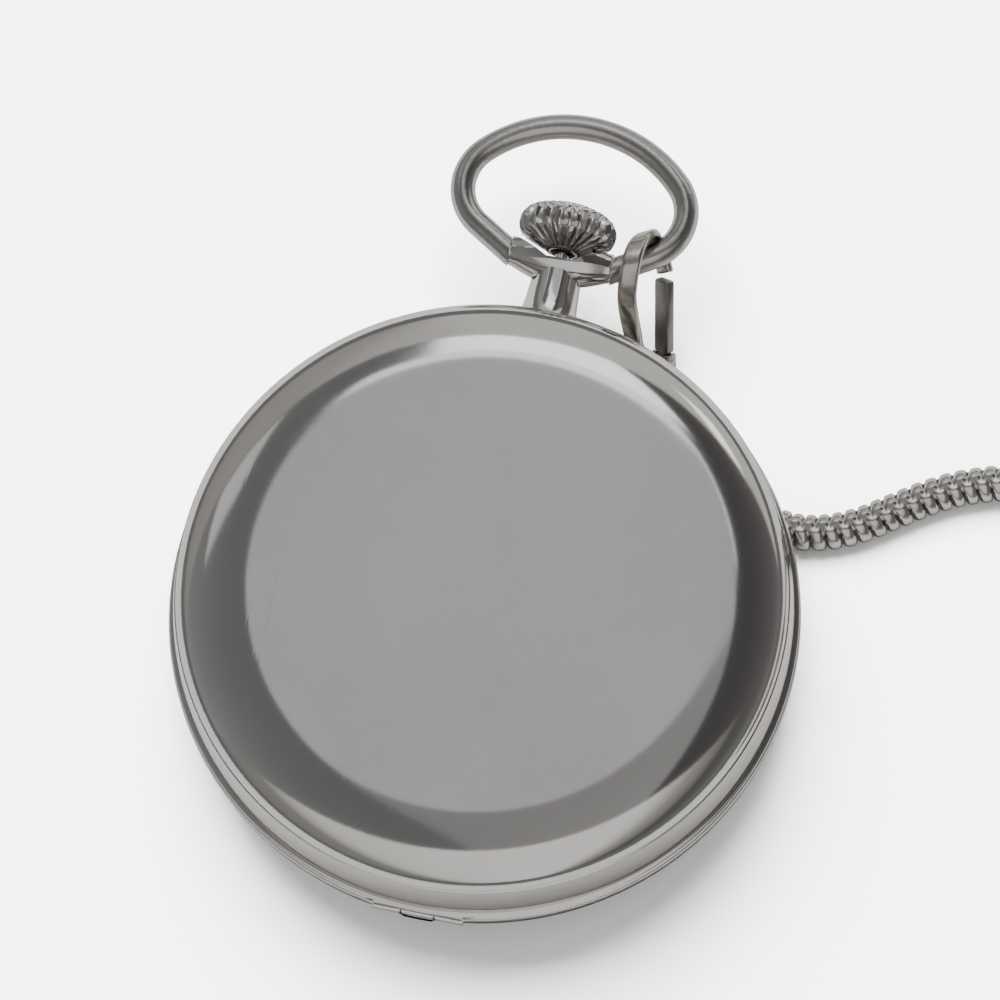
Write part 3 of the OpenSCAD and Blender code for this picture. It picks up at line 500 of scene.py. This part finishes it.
def knuckle(name, x0, x1):
    """Barrel of the hinge between two places along X."""
    long, r = x1 - x0, KNUCKLE_R - knuckle_edge
    prof = [(0, 0), (r, 0), (KNUCKLE_R, knuckle_edge), (KNUCKLE_R, long - knuckle_edge), (r, long), (0, long)]
    return lathe(name, prof, case_mat, seg=40, move=about_x(x0, HINGE_Y, HINGE_Z))


dial_seat = lathe("dial_seat", [(19.9, 6.75), (20.7, 6.75), (20.7, 7.15), (19.9, 7.15)], case_mat)
middle_knuckle = knuckle("middle_knuckle", -MID_KNUCKLE, MID_KNUCKLE)
done(join_parts("case_middle_shell", [middle, dial_seat, middle_knuckle]), "watch", "case_steel", "case_middle")


def hinge_notch(p):
    """Lowers the lid's rim where the hinge's knuckles lie."""
    if p[1] < -20 and abs(p[0]) < HINGE_HALF + 0.1:
        p[2] = min(p[2], 5.6 if abs(p[0]) < MID_KNUCKLE + 0.12 else HINGE_Z)
    return p


lid_outer = ellipse(REST_R, WAIST_Z, CASE_R - REST_R, WAIST_Z, -90, 0, 44)
lid_inner = ellipse(REST_R, WAIST_Z, CASE_R - REST_R - WALL, WAIST_Z - WALL, 0, -90, 24)
lid_rim = [(CASE_R, LID_RIM_Z - 0.2), (CASE_R - 0.04, LID_RIM_Z - 0.08), (CASE_R - 0.14, LID_RIM_Z),
           (CASE_R - WALL, LID_RIM_Z)]
lid = lathe("lid_shell", [(0, 0)] + lid_outer + lid_rim + lid_inner + [(0, WALL)], case_mat,
            seg=288, move=hinge_notch, sharp=45)
done(join_parts("front_lid_shell", [lid, knuckle("lid_knuckle_a", -HINGE_HALF, -MID_KNUCKLE - 0.05),
                knuckle("lid_knuckle_b", MID_KNUCKLE + 0.05, HINGE_HALF)]), "lid", "case_steel", "front_lid")

bezel_profile = [
    (19.3, 4.9), (19.36, 4.72), (19.55, 4.5), (19.8, 4.38), (20.2, 4.31), (20.6, 4.3), (21.0, 4.38), (21.3, 4.58),
    (21.5, 4.9), (21.6, 5.22), (20.5, 5.22), (20.5, 6.3), (19.95, 6.3), (19.95, 5.35), (19.3, 5.35)]
done(lathe("bezel_ring", bezel_profile, case_mat, seg=192, sharp=30), "watch", "case_steel", "bezel")
crystal_low = [(19.2 * k / 20, 3.55 + 1.9 * (k / 20) ** 2) for k in range(21)]
crystal_high = [(19.2 * k / 20, 4.25 + 1.8 * (k / 20) ** 2) for k in range(20, -1, -1)]
crystal_edge = [(19.25, 5.42), (19.85, 5.42), (19.85, 6.1), (19.25, 6.1)]
done(lathe("crystal_glass", crystal_low + crystal_edge + crystal_high, glass_mat, sharp=45),
     "watch", "crystal_clear", "crystal")

# ---------------------------------------------------------------- pendant, bow and crown

NECK_CORNER, NECK_DEPTH, NECK_N = 0.12, 0.84, 16


def neck_ring(y, half, flat):
    """Eight-sided ring with narrow flats in front and at the sides, and wide ones between them."""
    h = flat / 2
    corners = [(half, -h), (half, h), (h, half), (-h, half), (-half, h), (-half, -h), (-h, -half), (h, -half)]
    out = []
    for k, c in enumerate(corners):
        here = Vector(c)
        for other in (corners[k - 1], corners[(k + 1) % 8]):
            out.append(here + (Vector(other) - here).normalized() * NECK_CORNER)
    return [v3(p.x, y, STEM_Z + p.y * NECK_DEPTH) for p in out]


# Distance along Y, half width and width of the flats
neck_rows = [(22.9, 2.42, 1.5), (23.2, 2.3, 1.42), (23.7, 2.14, 1.34), (24.4, 2.02, 1.28), (25.2, 1.95, 1.24),
             (26.2, 1.9, 1.2), (27.4, 1.88, 1.2)]
rings = [neck_ring(*row) for row in neck_rows]
verts = [p for ring in rings for p in ring]
faces = [[i * NECK_N + k, i * NECK_N + (k + 1) % NECK_N, (i + 1) * NECK_N + (k + 1) % NECK_N, (i + 1) * NECK_N + k]
         for i in range(len(rings) - 1) for k in range(NECK_N)]
faces += [list(range(NECK_N - 1, -1, -1)), [(len(rings) - 1) * NECK_N + k for k in range(NECK_N)]]
neck = new_object("neck", verts, faces, case_mat, sharp=24)
BAR_HALF, BAR_R, BAR_MID = 3.95, 1.15, 2.0
bar_side = [(BAR_R - 0.07, BAR_HALF), (BAR_R, BAR_HALF - 0.07), (BAR_R + 0.03, BAR_HALF - 0.25),
            (1.33, 3.35), (1.53, 2.85), (1.7, 2.35), (1.84, 1.85), (1.94, 1.3), (BAR_MID, 0.6)]
bar_profile = [(0, -BAR_HALF)] + [(r, -x) for r, x in bar_side] + bar_side[::-1] + [(0, BAR_HALF)]
bar = lathe("crossbar", bar_profile, case_mat, seg=96, move=about_x(0, BOW_Y, STEM_Z), sharp=30)
# Outline of the room for the crown's cone, seen along Z
SADDLE = [(-1, -0.5), (1, -0.5), (4.6, 1.5), (4.6, 4), (-4.6, 4), (-4.6, 1.5)]
for ob in (neck, bar):
    bore = [(0, 20), (1.05, 20), (1.05, 33), (0, 33)]
    cut(ob, lathe("bore_cutter", bore, case_mat, seg=64, move=about_y(0, 0, STEM_Z)))
    corners = [v3(x, BOW_Y + y, STEM_Z + z) for z in (-3, 3) for x, y in SADDLE]
    saddle_faces = [[5, 4, 3, 2, 1, 0], [6, 7, 8, 9, 10, 11]]
    saddle_faces += [[k, (k + 1) % 6, (k + 1) % 6 + 6, k + 6] for k in range(6)]
    cut(ob, new_object("saddle_cutter", corners, saddle_faces))
for side in (-1, 1):
    socket = lathe("socket_cutter", [(0, 0), (0.5, 0), (0.5, 1.4), (0, 1.4)], case_mat, seg=32,
                   move=about_x(side * (BAR_HALF - 0.6) - 0.7, BOW_Y, STEM_Z))
    cut(bar, socket)
done(join_parts("pendant_neck_and_saddle", [bar, neck]), "watch", "case_steel", "pendant")

BOW_R, BEND_R, BEND_X, BEND_Y, TOP_R = 0.97, 3.9, 4.78, BOW_Y + 4.93, 10.5
half_angle = math.asin(BEND_X / (TOP_R - BEND_R))
top_y = BEND_Y - (TOP_R - BEND_R) * math.cos(half_angle)
foot_angle, foot_len = math.radians(58), 4.0
quarter = math.pi / 2
foot = (BEND_X + BEND_R * math.cos(foot_angle), BEND_Y - BEND_R * math.sin(foot_angle))
right_arm = [(foot[0] - back_by * math.sin(foot_angle), foot[1] - back_by * math.cos(foot_angle))
             for back_by in (foot_len * (1 - k / 6) for k in range(6))]
right_arm += [(BEND_X + BEND_R * math.cos(t), BEND_Y + BEND_R * math.sin(t))
              for t in (-foot_angle + (foot_angle + quarter - half_angle) * k / 40 for k in range(41))]
crest = [(TOP_R * math.cos(t), top_y + TOP_R * math.sin(t))
         for t in (quarter - half_angle + 2 * half_angle * k / 40 for k in range(1, 40))]
bow_plan = right_arm + crest + [(-x, y) for x, y in right_arm[::-1]]
bow_line = [v3(x, y, STEM_Z) for x, y in bow_plan]
bow_wire = sweep("bow_wire", bow_line, circle_section(BOW_R, 36), bow_mat, sharp=60)
FOOT_GAP = 0.07
FOOT_X = BAR_HALF + FOOT_GAP
foot_room = [(0, -FOOT_X), (4, -FOOT_X), (4, FOOT_X), (0, FOOT_X)]
cut(bow_wire, lathe("foot_cutter", foot_room, bow_mat, seg=64, move=about_x(0, BOW_Y, STEM_Z)))
bow_parts = [bow_wire]
for side in (-1, 1):
    pin = [(r, side * (BAR_HALF + x)) for r, x in
           ((0, -0.8), (0.4, -0.8), (0.45, -0.75), (0.45, 0.4), (0, 0.4))]
    bow_parts.append(lathe(f"bow_pin_{side}", pin, bow_mat, seg=48, move=about_x(0, BOW_Y, STEM_Z)))
done(join_parts("bow_oval", bow_parts), "bow_body", "bow_steel", "bow")

CROWN_Y, FLUTES, FLUTE_STEPS, FLUTE_DEPTH, FLUTE_TOP = 28.8, 28, 12, 0.34, 3.5
crown_profile = [(0, 0.65), (0.95, 0.65), (0.95, 0.02), (1.05, 0.0), (1.15, 0.03)]
crown_profile += [(1.15 + 2.3 * k / 8, 0.03 + 1.12 * k / 8) for k in range(1, 9)]
crown_profile += [(3.55, 1.2)] + ellipse(2.55, 2.0, 1.25, 1.28, -34, 74, 16)
crown_profile += [(2.55, 3.36), (2.2, 3.5), (1.2, 3.62), (0, 3.65)]


def crown_flute(p):
    """Presses the flutes into the crown: deep on the wide part, running out towards the stem and the top."""
    r, height = math.hypot(p[0], p[1]), p[2]
    wide = min(1.0, max(0.0, (r - 1.0) / 1.1))
    angle = math.atan2(p[1], p[0])
    depth = FLUTE_DEPTH * wide * abs(math.sin(FLUTES * angle / 2)) if height < FLUTE_TOP else 0
    g = (r - depth) / r if r > 0.01 else 1
    return about_y(0, CROWN_Y, STEM_Z)([p[0] * g, p[1] * g, height])


done(lathe("crown_fluted", crown_profile, case_mat, seg=FLUTES * FLUTE_STEPS, move=crown_flute, sharp=32),
     "crown_stem", "case_steel", "crown")

# ---------------------------------------------------------------- clasp

# Middle of the strap, and the direction that its width takes there
hook_route = [
    ((8.45, 23.35, 2.1), (0.78, -0.37, 0.5)), ((7.4, 23.55, 3.5), (0.78, -0.37, 0.5)),
    ((6.6, 24, 5.3), (0.8, -0.3, 0.45)), ((6.3, 24.5, 7), (0.85, -0.1, 0.35)),
    ((5.95, 25.15, 8.8), (0.88, 0, 0.2)), ((5.65, 26.1, 10.5), (0.88, 0.25, 0.1)),
    ((5.6, 27.8, 12.05), (0.88, 0.45, 0)), ((5.7, 29.45, 12), (0.88, 0.47, 0)),
    ((6, 30.75, 11), (0.88, 0.47, 0)), ((6.35, 31.5, 9.25), (0.88, 0.47, 0)),
    ((7, 31, 7.6), (0.85, 0.3, 0.2)), ((7.62, 30.1, 6.95), (0.78, -0.2, 0.5)),
    ((7.8, 29.65, 6.8), (0.78, -0.37, 0.5))]
hook_line = catmull([v3(*p) for p, w in hook_route], 10)
hook_ups = catmull([Vector(w) for p, w in hook_route], 10)
count = len(hook_line)
hook_scale = [1.12 - 0.12 * min(1, k / 20) - 0.08 * k / count for k in range(count)]
hook_scale[-3:] = [0.98 * hook_scale[-3], 0.9 * hook_scale[-2], 0.7 * hook_scale[-1]]
strap = sweep("hook_strap", hook_line, round_box(0.74, 1.54, 0.3, 6), clasp_mat,
              ups=hook_ups, scale=hook_scale, sharp=60)

gate_from, gate_to = Vector((8.75, 24.3, 2.5)), Vector((7.87, 29.1, 6.75))
gate_dir = (gate_to - gate_from).normalized()
gate_len = (gate_to - gate_from).length
gate_in = Vector((0.781, -0.374, 0.499)).cross(gate_dir).normalized()
gate_side = gate_dir.cross(gate_in)


def in_gate(p):
    """Places a point of the gate's own frame: across, into the loop and up the gate."""
    return list(gate_from + gate_side * p[0] + gate_in * p[1] + gate_dir * p[2])


def across_gate(p):
    """Turns a lathed shape so that its axis is the gate's hinge."""
    return in_gate([p[2], p[0], p[1]])


def block(name, section, z0, z1, mat, place, bevel):
    """Straight bar with a rounded section and eased ends."""
    verts, m = [], len(section)
    for z, g in ((z0, 1 - bevel), (z0 + bevel, 1), (z1 - bevel, 1), (z1, 1 - bevel)):
        verts += [v3(*place([a * g, b * g, z])) for a, b in section]
    faces = [[i * m + k, i * m + (k + 1) % m, (i + 1) * m + (k + 1) % m, (i + 1) * m + k]
             for i in range(3) for k in range(m)]
    faces += [list(range(m - 1, -1, -1)), [3 * m + k for k in range(m)]]
    return new_object(name, verts, faces, mat, sharp=40)


collar_profile = [(0, -1.4), (0.84, -1.4), (0.95, -1.29), (0.95, -0.98), (0.86, -0.92), (0.86, -0.86),
                  (0.95, -0.8), (0.95, -0.56), (0.87, -0.48), (0, -0.48)]
hook_parts = [strap, lathe("hook_collar", collar_profile, clasp_mat, seg=64, move=in_gate)]
for side in (-1, 1):
    hook_parts.append(block("ear", round_box(1.0, 0.3, 0.1, 4), -1.0, 0.5, clasp_mat,
                            lambda p, s=side: in_gate([s * 0.72 + p[1], p[0], p[2]]), 0.12))
done(join_parts("clasp_hook_strap", hook_parts), "watch", "clasp_steel", "clasp_hook")

bar_part = block("gate_bar", round_box(1.48, 0.78, 0.14, 4), 0.62, gate_len - 0.02, gate_mat, in_gate, 0.1)
eye_profile = [(0.23, -0.52), (0.41, -0.52), (0.45, -0.48), (0.45, 0.48), (0.41, 0.52), (0.23, 0.52)]
eye = lathe("gate_eye", eye_profile, gate_mat, seg=40, move=across_gate)
web = block("gate_web", round_box(1.0, 0.7, 0.1, 3), 0.3, 0.8, gate_mat, in_gate, 0.05)
done(join_parts("clasp_gate_bar", [bar_part, eye, web]), "gate", "gate_steel", "clasp_gate")
pin_profile = [(0, -0.87), (0.14, -0.87), (0.2, -0.82), (0.2, 0.82), (0.14, 0.87), (0, 0.87)]
done(lathe("gate_hinge_pin", pin_profile, steel_mat, seg=32, move=across_gate),
     "watch", "movement_steel", "clasp_gate_pin")


def ring(name, big, small, place):
    """Round ring of round wire, for the clasp and the chain's ends."""
    profile = [(big + x, y) for x, y in circle_section(small, 20)]
    return lathe(name, profile, clasp_mat, seg=56, move=place, sharp=80)


swivel_profile = [(0, -1.75), (0.3, -1.75), (0.42, -1.7), (0.5, -1.62), (0.5, -1.46), (0.44, -1.4), (0, -1.4)]
swivel_neck = lathe("swivel_neck", swivel_profile, clasp_mat, seg=40, move=in_gate)
swivel_ring = ring("swivel_ring", 0.62, 0.25, lambda p: in_gate([p[0], p[2], p[1] - 2.3]))
done(join_parts("clasp_swivel_eye", [swivel_neck, swivel_ring]), "watch", "clasp_steel", "clasp_swivel")
# The ring leans between the swivel's eye and the chain's
link_turn = Matrix.Rotation(math.radians(41), 3, "Z") @ Matrix.Rotation(math.radians(30), 3, "Y")
link_at = Vector((9.58, 22.06, 1.06))
done(ring("chain_jump_ring", 0.8, 0.24, lambda p: list(link_turn @ Vector(p) + link_at)),
     "watch", "clasp_steel", "chain_ring")


def cap_profile(length):
    """Turned sleeve with a rounded closed end, two grooves and a rolled lip."""
    closed_end = [(0, 0), (0.8, 0.0), (1.1, 0.08), (1.3, 0.25), (1.38, 0.5), (1.39, 0.8)]
    lip_end = [(1.39, length - 0.62), (1.3, length - 0.56), (1.3, length - 0.5), (1.39, length - 0.44),
               (1.39, length - 0.06), (1.33, length), (0, length)]
    return closed_end + [(1.3, 0.86), (1.3, 0.92), (1.39, 0.98)] + lip_end


cap_from, cap_to = Vector((10.5, 21.03, CZ)), Vector((12.3, 19.2, CZ))
cap_dir = cap_to - cap_from
cap = lathe("cap_sleeve", cap_profile(cap_dir.length), clasp_mat, seg=56, move=about(cap_from, cap_dir))
cap_eye = ring("cap_eye", 0.46, 0.18,
               about(cap_from - cap_dir.normalized() * 0.5, Vector((cap_dir.y, -cap_dir.x, 0))))
done(join_parts("chain_end_sleeve", [cap, cap_eye]), "watch", "clasp_steel", "chain_end_cap")

far_at, far_dir, far_len = Vector((56.34, 1.9, CZ)), direction_flat(60), 3.2
far_cap = lathe("far_sleeve", cap_profile(far_len), clasp_mat, seg=56,
                move=about(far_at + far_dir * far_len, -far_dir))
far_ring = ring("far_ring", 0.62, 0.2,
                about(far_at + far_dir * (far_len + 0.35) - Vector((0, 0, 0.35)), Vector((0, 0, 1))))
done(join_parts("far_end_sleeve", [far_cap, far_ring]), "watch", "clasp_steel", "far_end_cap")
bar_dir, bar_mid, T_HALF = direction_flat(-30), Vector((59.04, 6.58, 0.9)), 6.5
half = [(0.9, 0), (0.9, 0.35), (0.72, 0.45), (0.66, 0.6), (0.56, T_HALF * 0.5), (0.5, T_HALF - 1.75)]
half += [(0.88 * math.sin(t), T_HALF - 0.88 - 0.88 * math.cos(t))
         for t in (math.radians(a) for a in range(36, 181, 12))]
rod = lathe("bar_rod", [(r, -x) for r, x in half[::-1]] + half[1:], clasp_mat, seg=48,
            move=about(bar_mid, bar_dir))
rod_loop = ring("bar_loop", 0.5, 0.18, about(bar_mid - Vector((-bar_dir.y, bar_dir.x, 0)) * 1.25, bar_dir))
done(join_parts("t_bar_rod", [rod, rod_loop]), "watch", "clasp_steel", "t_bar")

# ---------------------------------------------------------------- dial print

PRINT, SECONDS_Y = 0.012, -9


def mark(mesh, z, at, angle, radii, widths):
    """Flat radial bar printed on the dial, its angle counted from the pendant."""
    verts, faces = mesh
    d, s = Vector((math.sin(angle), math.cos(angle))), Vector((math.cos(angle), -math.sin(angle)))
    base = len(verts)
    for height in (z, z - PRINT):
        for end, across in ((0, -0.5), (0, 0.5), (1, 0.5), (1, -0.5)):
            r, w = radii[end], widths[end]
            verts.append(v3(at[0] + d.x * r + s.x * w * across, at[1] + d.y * r + s.y * w * across, height))
    faces.extend([[base + k for k in q] for q in
                  ((0, 1, 2, 3), (7, 6, 5, 4), (0, 4, 5, 1), (1, 5, 6, 2), (2, 6, 7, 3), (3, 7, 4, 0))])


def track(mesh, z, at, r0, r1, n=120):
    """Printed ring between two radii."""
    for k in range(n):
        widths = (2 * math.pi * r0 / n, 2 * math.pi * r1 / n)
        mark(mesh, z, at, 2 * math.pi * (k + 0.5) / n, (r0, r1), widths)


def minute_marks(mesh, z, at, radii, thick, thin):
    """Sixty marks, every fifth one thick."""
    for k in range(60):
        w = thick if k % 5 == 0 else thin
        mark(mesh, z, at, 2 * math.pi * k / 60, radii, (w, w))


DIAL_Z, hours, HOUR_R, HOUR_W = 7.2, ([], []), (13.2, 16.4), (0.5, 0.95)
track(hours, DIAL_Z, (0, 0), 18.25, 18.33)
track(hours, DIAL_Z, (0, 0), 17.25, 17.33)
minute_marks(hours, DIAL_Z, (0, 0), (17.33, 18.25), 0.3, 0.1)
# Bars for the hours, three at each quarter and none under the seconds
for k in range(12):
    a = 2 * math.pi * k / 12
    apart = (0, 0.8, -0.8) if k % 3 == 0 else (0,)
    for off in apart:
        if k != 6:
            mark(hours, DIAL_Z, (off * math.cos(a), -off * math.sin(a)), a, HOUR_R, HOUR_W)
done(new_object("dial_print", *hours, black_mat, smooth=False), "watch", "hand_black")

SUNK_Z, seconds = 7.3, ([], [])
track(seconds, SUNK_Z, (0, SECONDS_Y), 4.0, 4.06)
track(seconds, SUNK_Z, (0, SECONDS_Y), 3.5, 3.55)
minute_marks(seconds, SUNK_Z, (0, SECONDS_Y), (3.55, 4.0), 0.14, 0.05)
for k in range(0, 12, 3):
    mark(seconds, SUNK_Z, (0, SECONDS_Y), 2 * math.pi * k / 12, (2.5, 3.2), (0.2, 0.3))
done(new_object("seconds_print", *seconds, black_mat, smooth=False), "watch", "hand_black")

# ---------------------------------------------------------------- studio

scene = bpy.context.scene
world = bpy.data.worlds.new("studio")
scene.world = world
world.use_nodes = True
wn = world.node_tree
bg = wn.nodes["Background"]
bg.inputs["Color"].default_value = (1.0, 0.995, 0.99, 1)
bg.inputs["Strength"].default_value = 1.0
dim = wn.nodes.new("ShaderNodeBackground")
dim.inputs["Color"].default_value = (0.95, 0.96, 1.0, 1)
dim.inputs["Strength"].default_value = 0.2
paths = wn.nodes.new("ShaderNodeLightPath")
pick = wn.nodes.new("ShaderNodeMixShader")
wn.links.new(paths.outputs["Is Glossy Ray"], pick.inputs["Fac"])
wn.links.new(bg.outputs["Background"], pick.inputs[1])
wn.links.new(dim.outputs["Background"], pick.inputs[2])
wn.links.new(pick.outputs["Shader"], wn.nodes["World Output"].inputs["Surface"])

# The paper is dimmer in reflections, as the room round a lit table is
floor_mat = mottled("floor_paper", 9, (0.88, 0.88, 0.885), (0.91, 0.91, 0.91), 0.8, detail=3, rough=0.5)
floor_tree = floor_mat.node_tree
floor_mix = floor_tree.nodes.new("ShaderNodeMixShader")
floor_dim = floor_tree.nodes.new("ShaderNodeBsdfDiffuse")
floor_dim.inputs["Color"].default_value = (0.15, 0.147, 0.142, 1)
floor_rays = floor_tree.nodes.new("ShaderNodeLightPath")
floor_tree.links.new(floor_rays.outputs["Is Glossy Ray"], floor_mix.inputs["Fac"])
floor_tree.links.new(floor_tree.nodes["Principled BSDF"].outputs["BSDF"], floor_mix.inputs[1])
floor_tree.links.new(floor_dim.outputs["BSDF"], floor_mix.inputs[2])
floor_tree.links.new(floor_mix.outputs["Shader"], floor_tree.nodes["Material Output"].inputs["Surface"])
floor_corners = [(x, y, -0.00002) for x, y in ((-3, -3), (3, -3), (3, 3), (-3, 3))]
floor = new_object("floor", floor_corners, [[0, 1, 2, 3]], floor_mat, smooth=False)
# The studio's own directions are to the camera's right and away from it
far_side = Vector((-right0.y, right0.x, 0))
BOARD_Z, WINDOW_Z = 1.0, 0.99


def board(name, right, far, stops, tint):
    """Glowing ceiling board a metre up, between two distances to the right and away.

    It only shows in reflections. stops gives its brightness at distances to the right.
    """
    m = bpy.data.materials.new(name)
    m.use_nodes = True
    nt = m.node_tree
    glow = nt.nodes.new("ShaderNodeEmission")
    co = nt.nodes.new("ShaderNodeTexCoord")
    split = nt.nodes.new("ShaderNodeSeparateXYZ")
    nt.links.new(co.outputs["Object"], split.inputs["Vector"])
    span = nt.nodes.new("ShaderNodeMapRange")
    span.inputs["From Min"].default_value = right[0]
    span.inputs["From Max"].default_value = right[1]
    nt.links.new(split.outputs["X"], span.inputs["Value"])
    width = right[1] - right[0]
    shades = [((x - right[0]) / width, tuple(value * t for t in tint)) for x, value in stops]
    shade = ramp(nt, span.outputs["Result"], shades)
    nt.links.new(shade.outputs["Color"], glow.inputs["Color"])
    nt.links.new(glow.outputs["Emission"], nt.nodes["Material Output"].inputs["Surface"])
    corners = [Vector((right[i], far[j], BOARD_Z)) for i, j in ((0, 1), (1, 1), (1, 0), (0, 0))]
    ob = new_object(name, corners, [[0, 1, 2, 3]], m, smooth=False)
    ob.rotation_euler = (0, 0, AZ)
    ob.visible_camera = False
    ob.visible_diffuse = False
    ob.visible_shadow = False


board("ceiling_middle", (-0.105, 0.34), (0.2, 0.6), [(-0.105, 0.64), (0.34, 0.62)], (1.0, 0.985, 0.985))
board("ceiling_low", (-0.105, 0.34), (-0.29, 0.198), [(-0.105, 0.30), (0.34, 0.36)], (1.0, 0.985, 0.97))
board("ceiling_left", (-4, -0.105), (-0.29, 0.95),
      [(-4, 0.36), (-2, 0.3), (-1, 0.25), (-0.5, 0.2), (-0.105, 0.17)], (0.98, 0.99, 1.0))
board("ceiling_right", (0.34, 4), (-0.29, 0.95),
      [(0.34, 0.085), (0.6, 0.09), (1.2, 0.13), (4, 0.25)], (1.0, 0.96, 0.96))
board("ceiling_near", (-4, 4), (-4, -0.292),
      [(-4, 0.25), (-1.2, 0.3), (-0.65, 0.85), (0, 1.0), (0.36, 1.0), (0.6, 0.4), (1.1, 0.12), (4, 0.25)],
      (1.0, 0.98, 0.95))
board("ceiling_far", (-4, 4), (0.952, 4), [(-4, 0.3), (-0.4, 0.42), (0.1, 0.75), (4, 0.8)], (1.0, 0.98, 0.94))


def area_light(name, size, power):
    """Rectangular light that has still to be placed."""
    ld = bpy.data.lights.new(name, "AREA")
    ld.shape = "RECTANGLE"
    ld.size, ld.size_y = size
    ld.energy = power
    ob = bpy.data.objects.new(name, ld)
    scene.collection.objects.link(ob)
    return ob


def window(right, far, power, color=(1, 1, 1)):
    """Bright opening just under the ceiling boards."""
    ob = area_light("window", (right[1] - right[0], far[1] - far[0]), power)
    ob.data.color = color
    middle_right, middle_far = sum(right) / 2, sum(far) / 2
    ob.location = right0 * middle_right + far_side * middle_far + Vector((0, 0, WINDOW_Z))
    ob.rotation_euler = (0, 0, AZ)


window((-0.02, 0.42), (0.6, 0.94), 0.95, (0.94, 0.97, 1.0))
window((-0.1, 0.36), (0.5, 0.598), 0.14, (0.96, 0.98, 1.0))
window((-0.8, -0.4), (0.6, 0.9), 0.2)
window((1.0, 1.4), (0.96, 1.4), 0.85)
window((0.345, 0.375), (0.3, 0.53), 0.03)
overhead = area_light("overhead", (0.8, 0.8), 110)
light_az, light_el = math.radians(112), math.radians(60)
towards = Vector((math.cos(light_az) * math.cos(light_el), math.sin(light_az) * math.cos(light_el),
                  math.sin(light_el)))
overhead.location = towards * 1.15
overhead.rotation_mode = "QUATERNION"
overhead.rotation_quaternion = towards.to_track_quat("Z", "Y")
overhead.visible_glossy = False
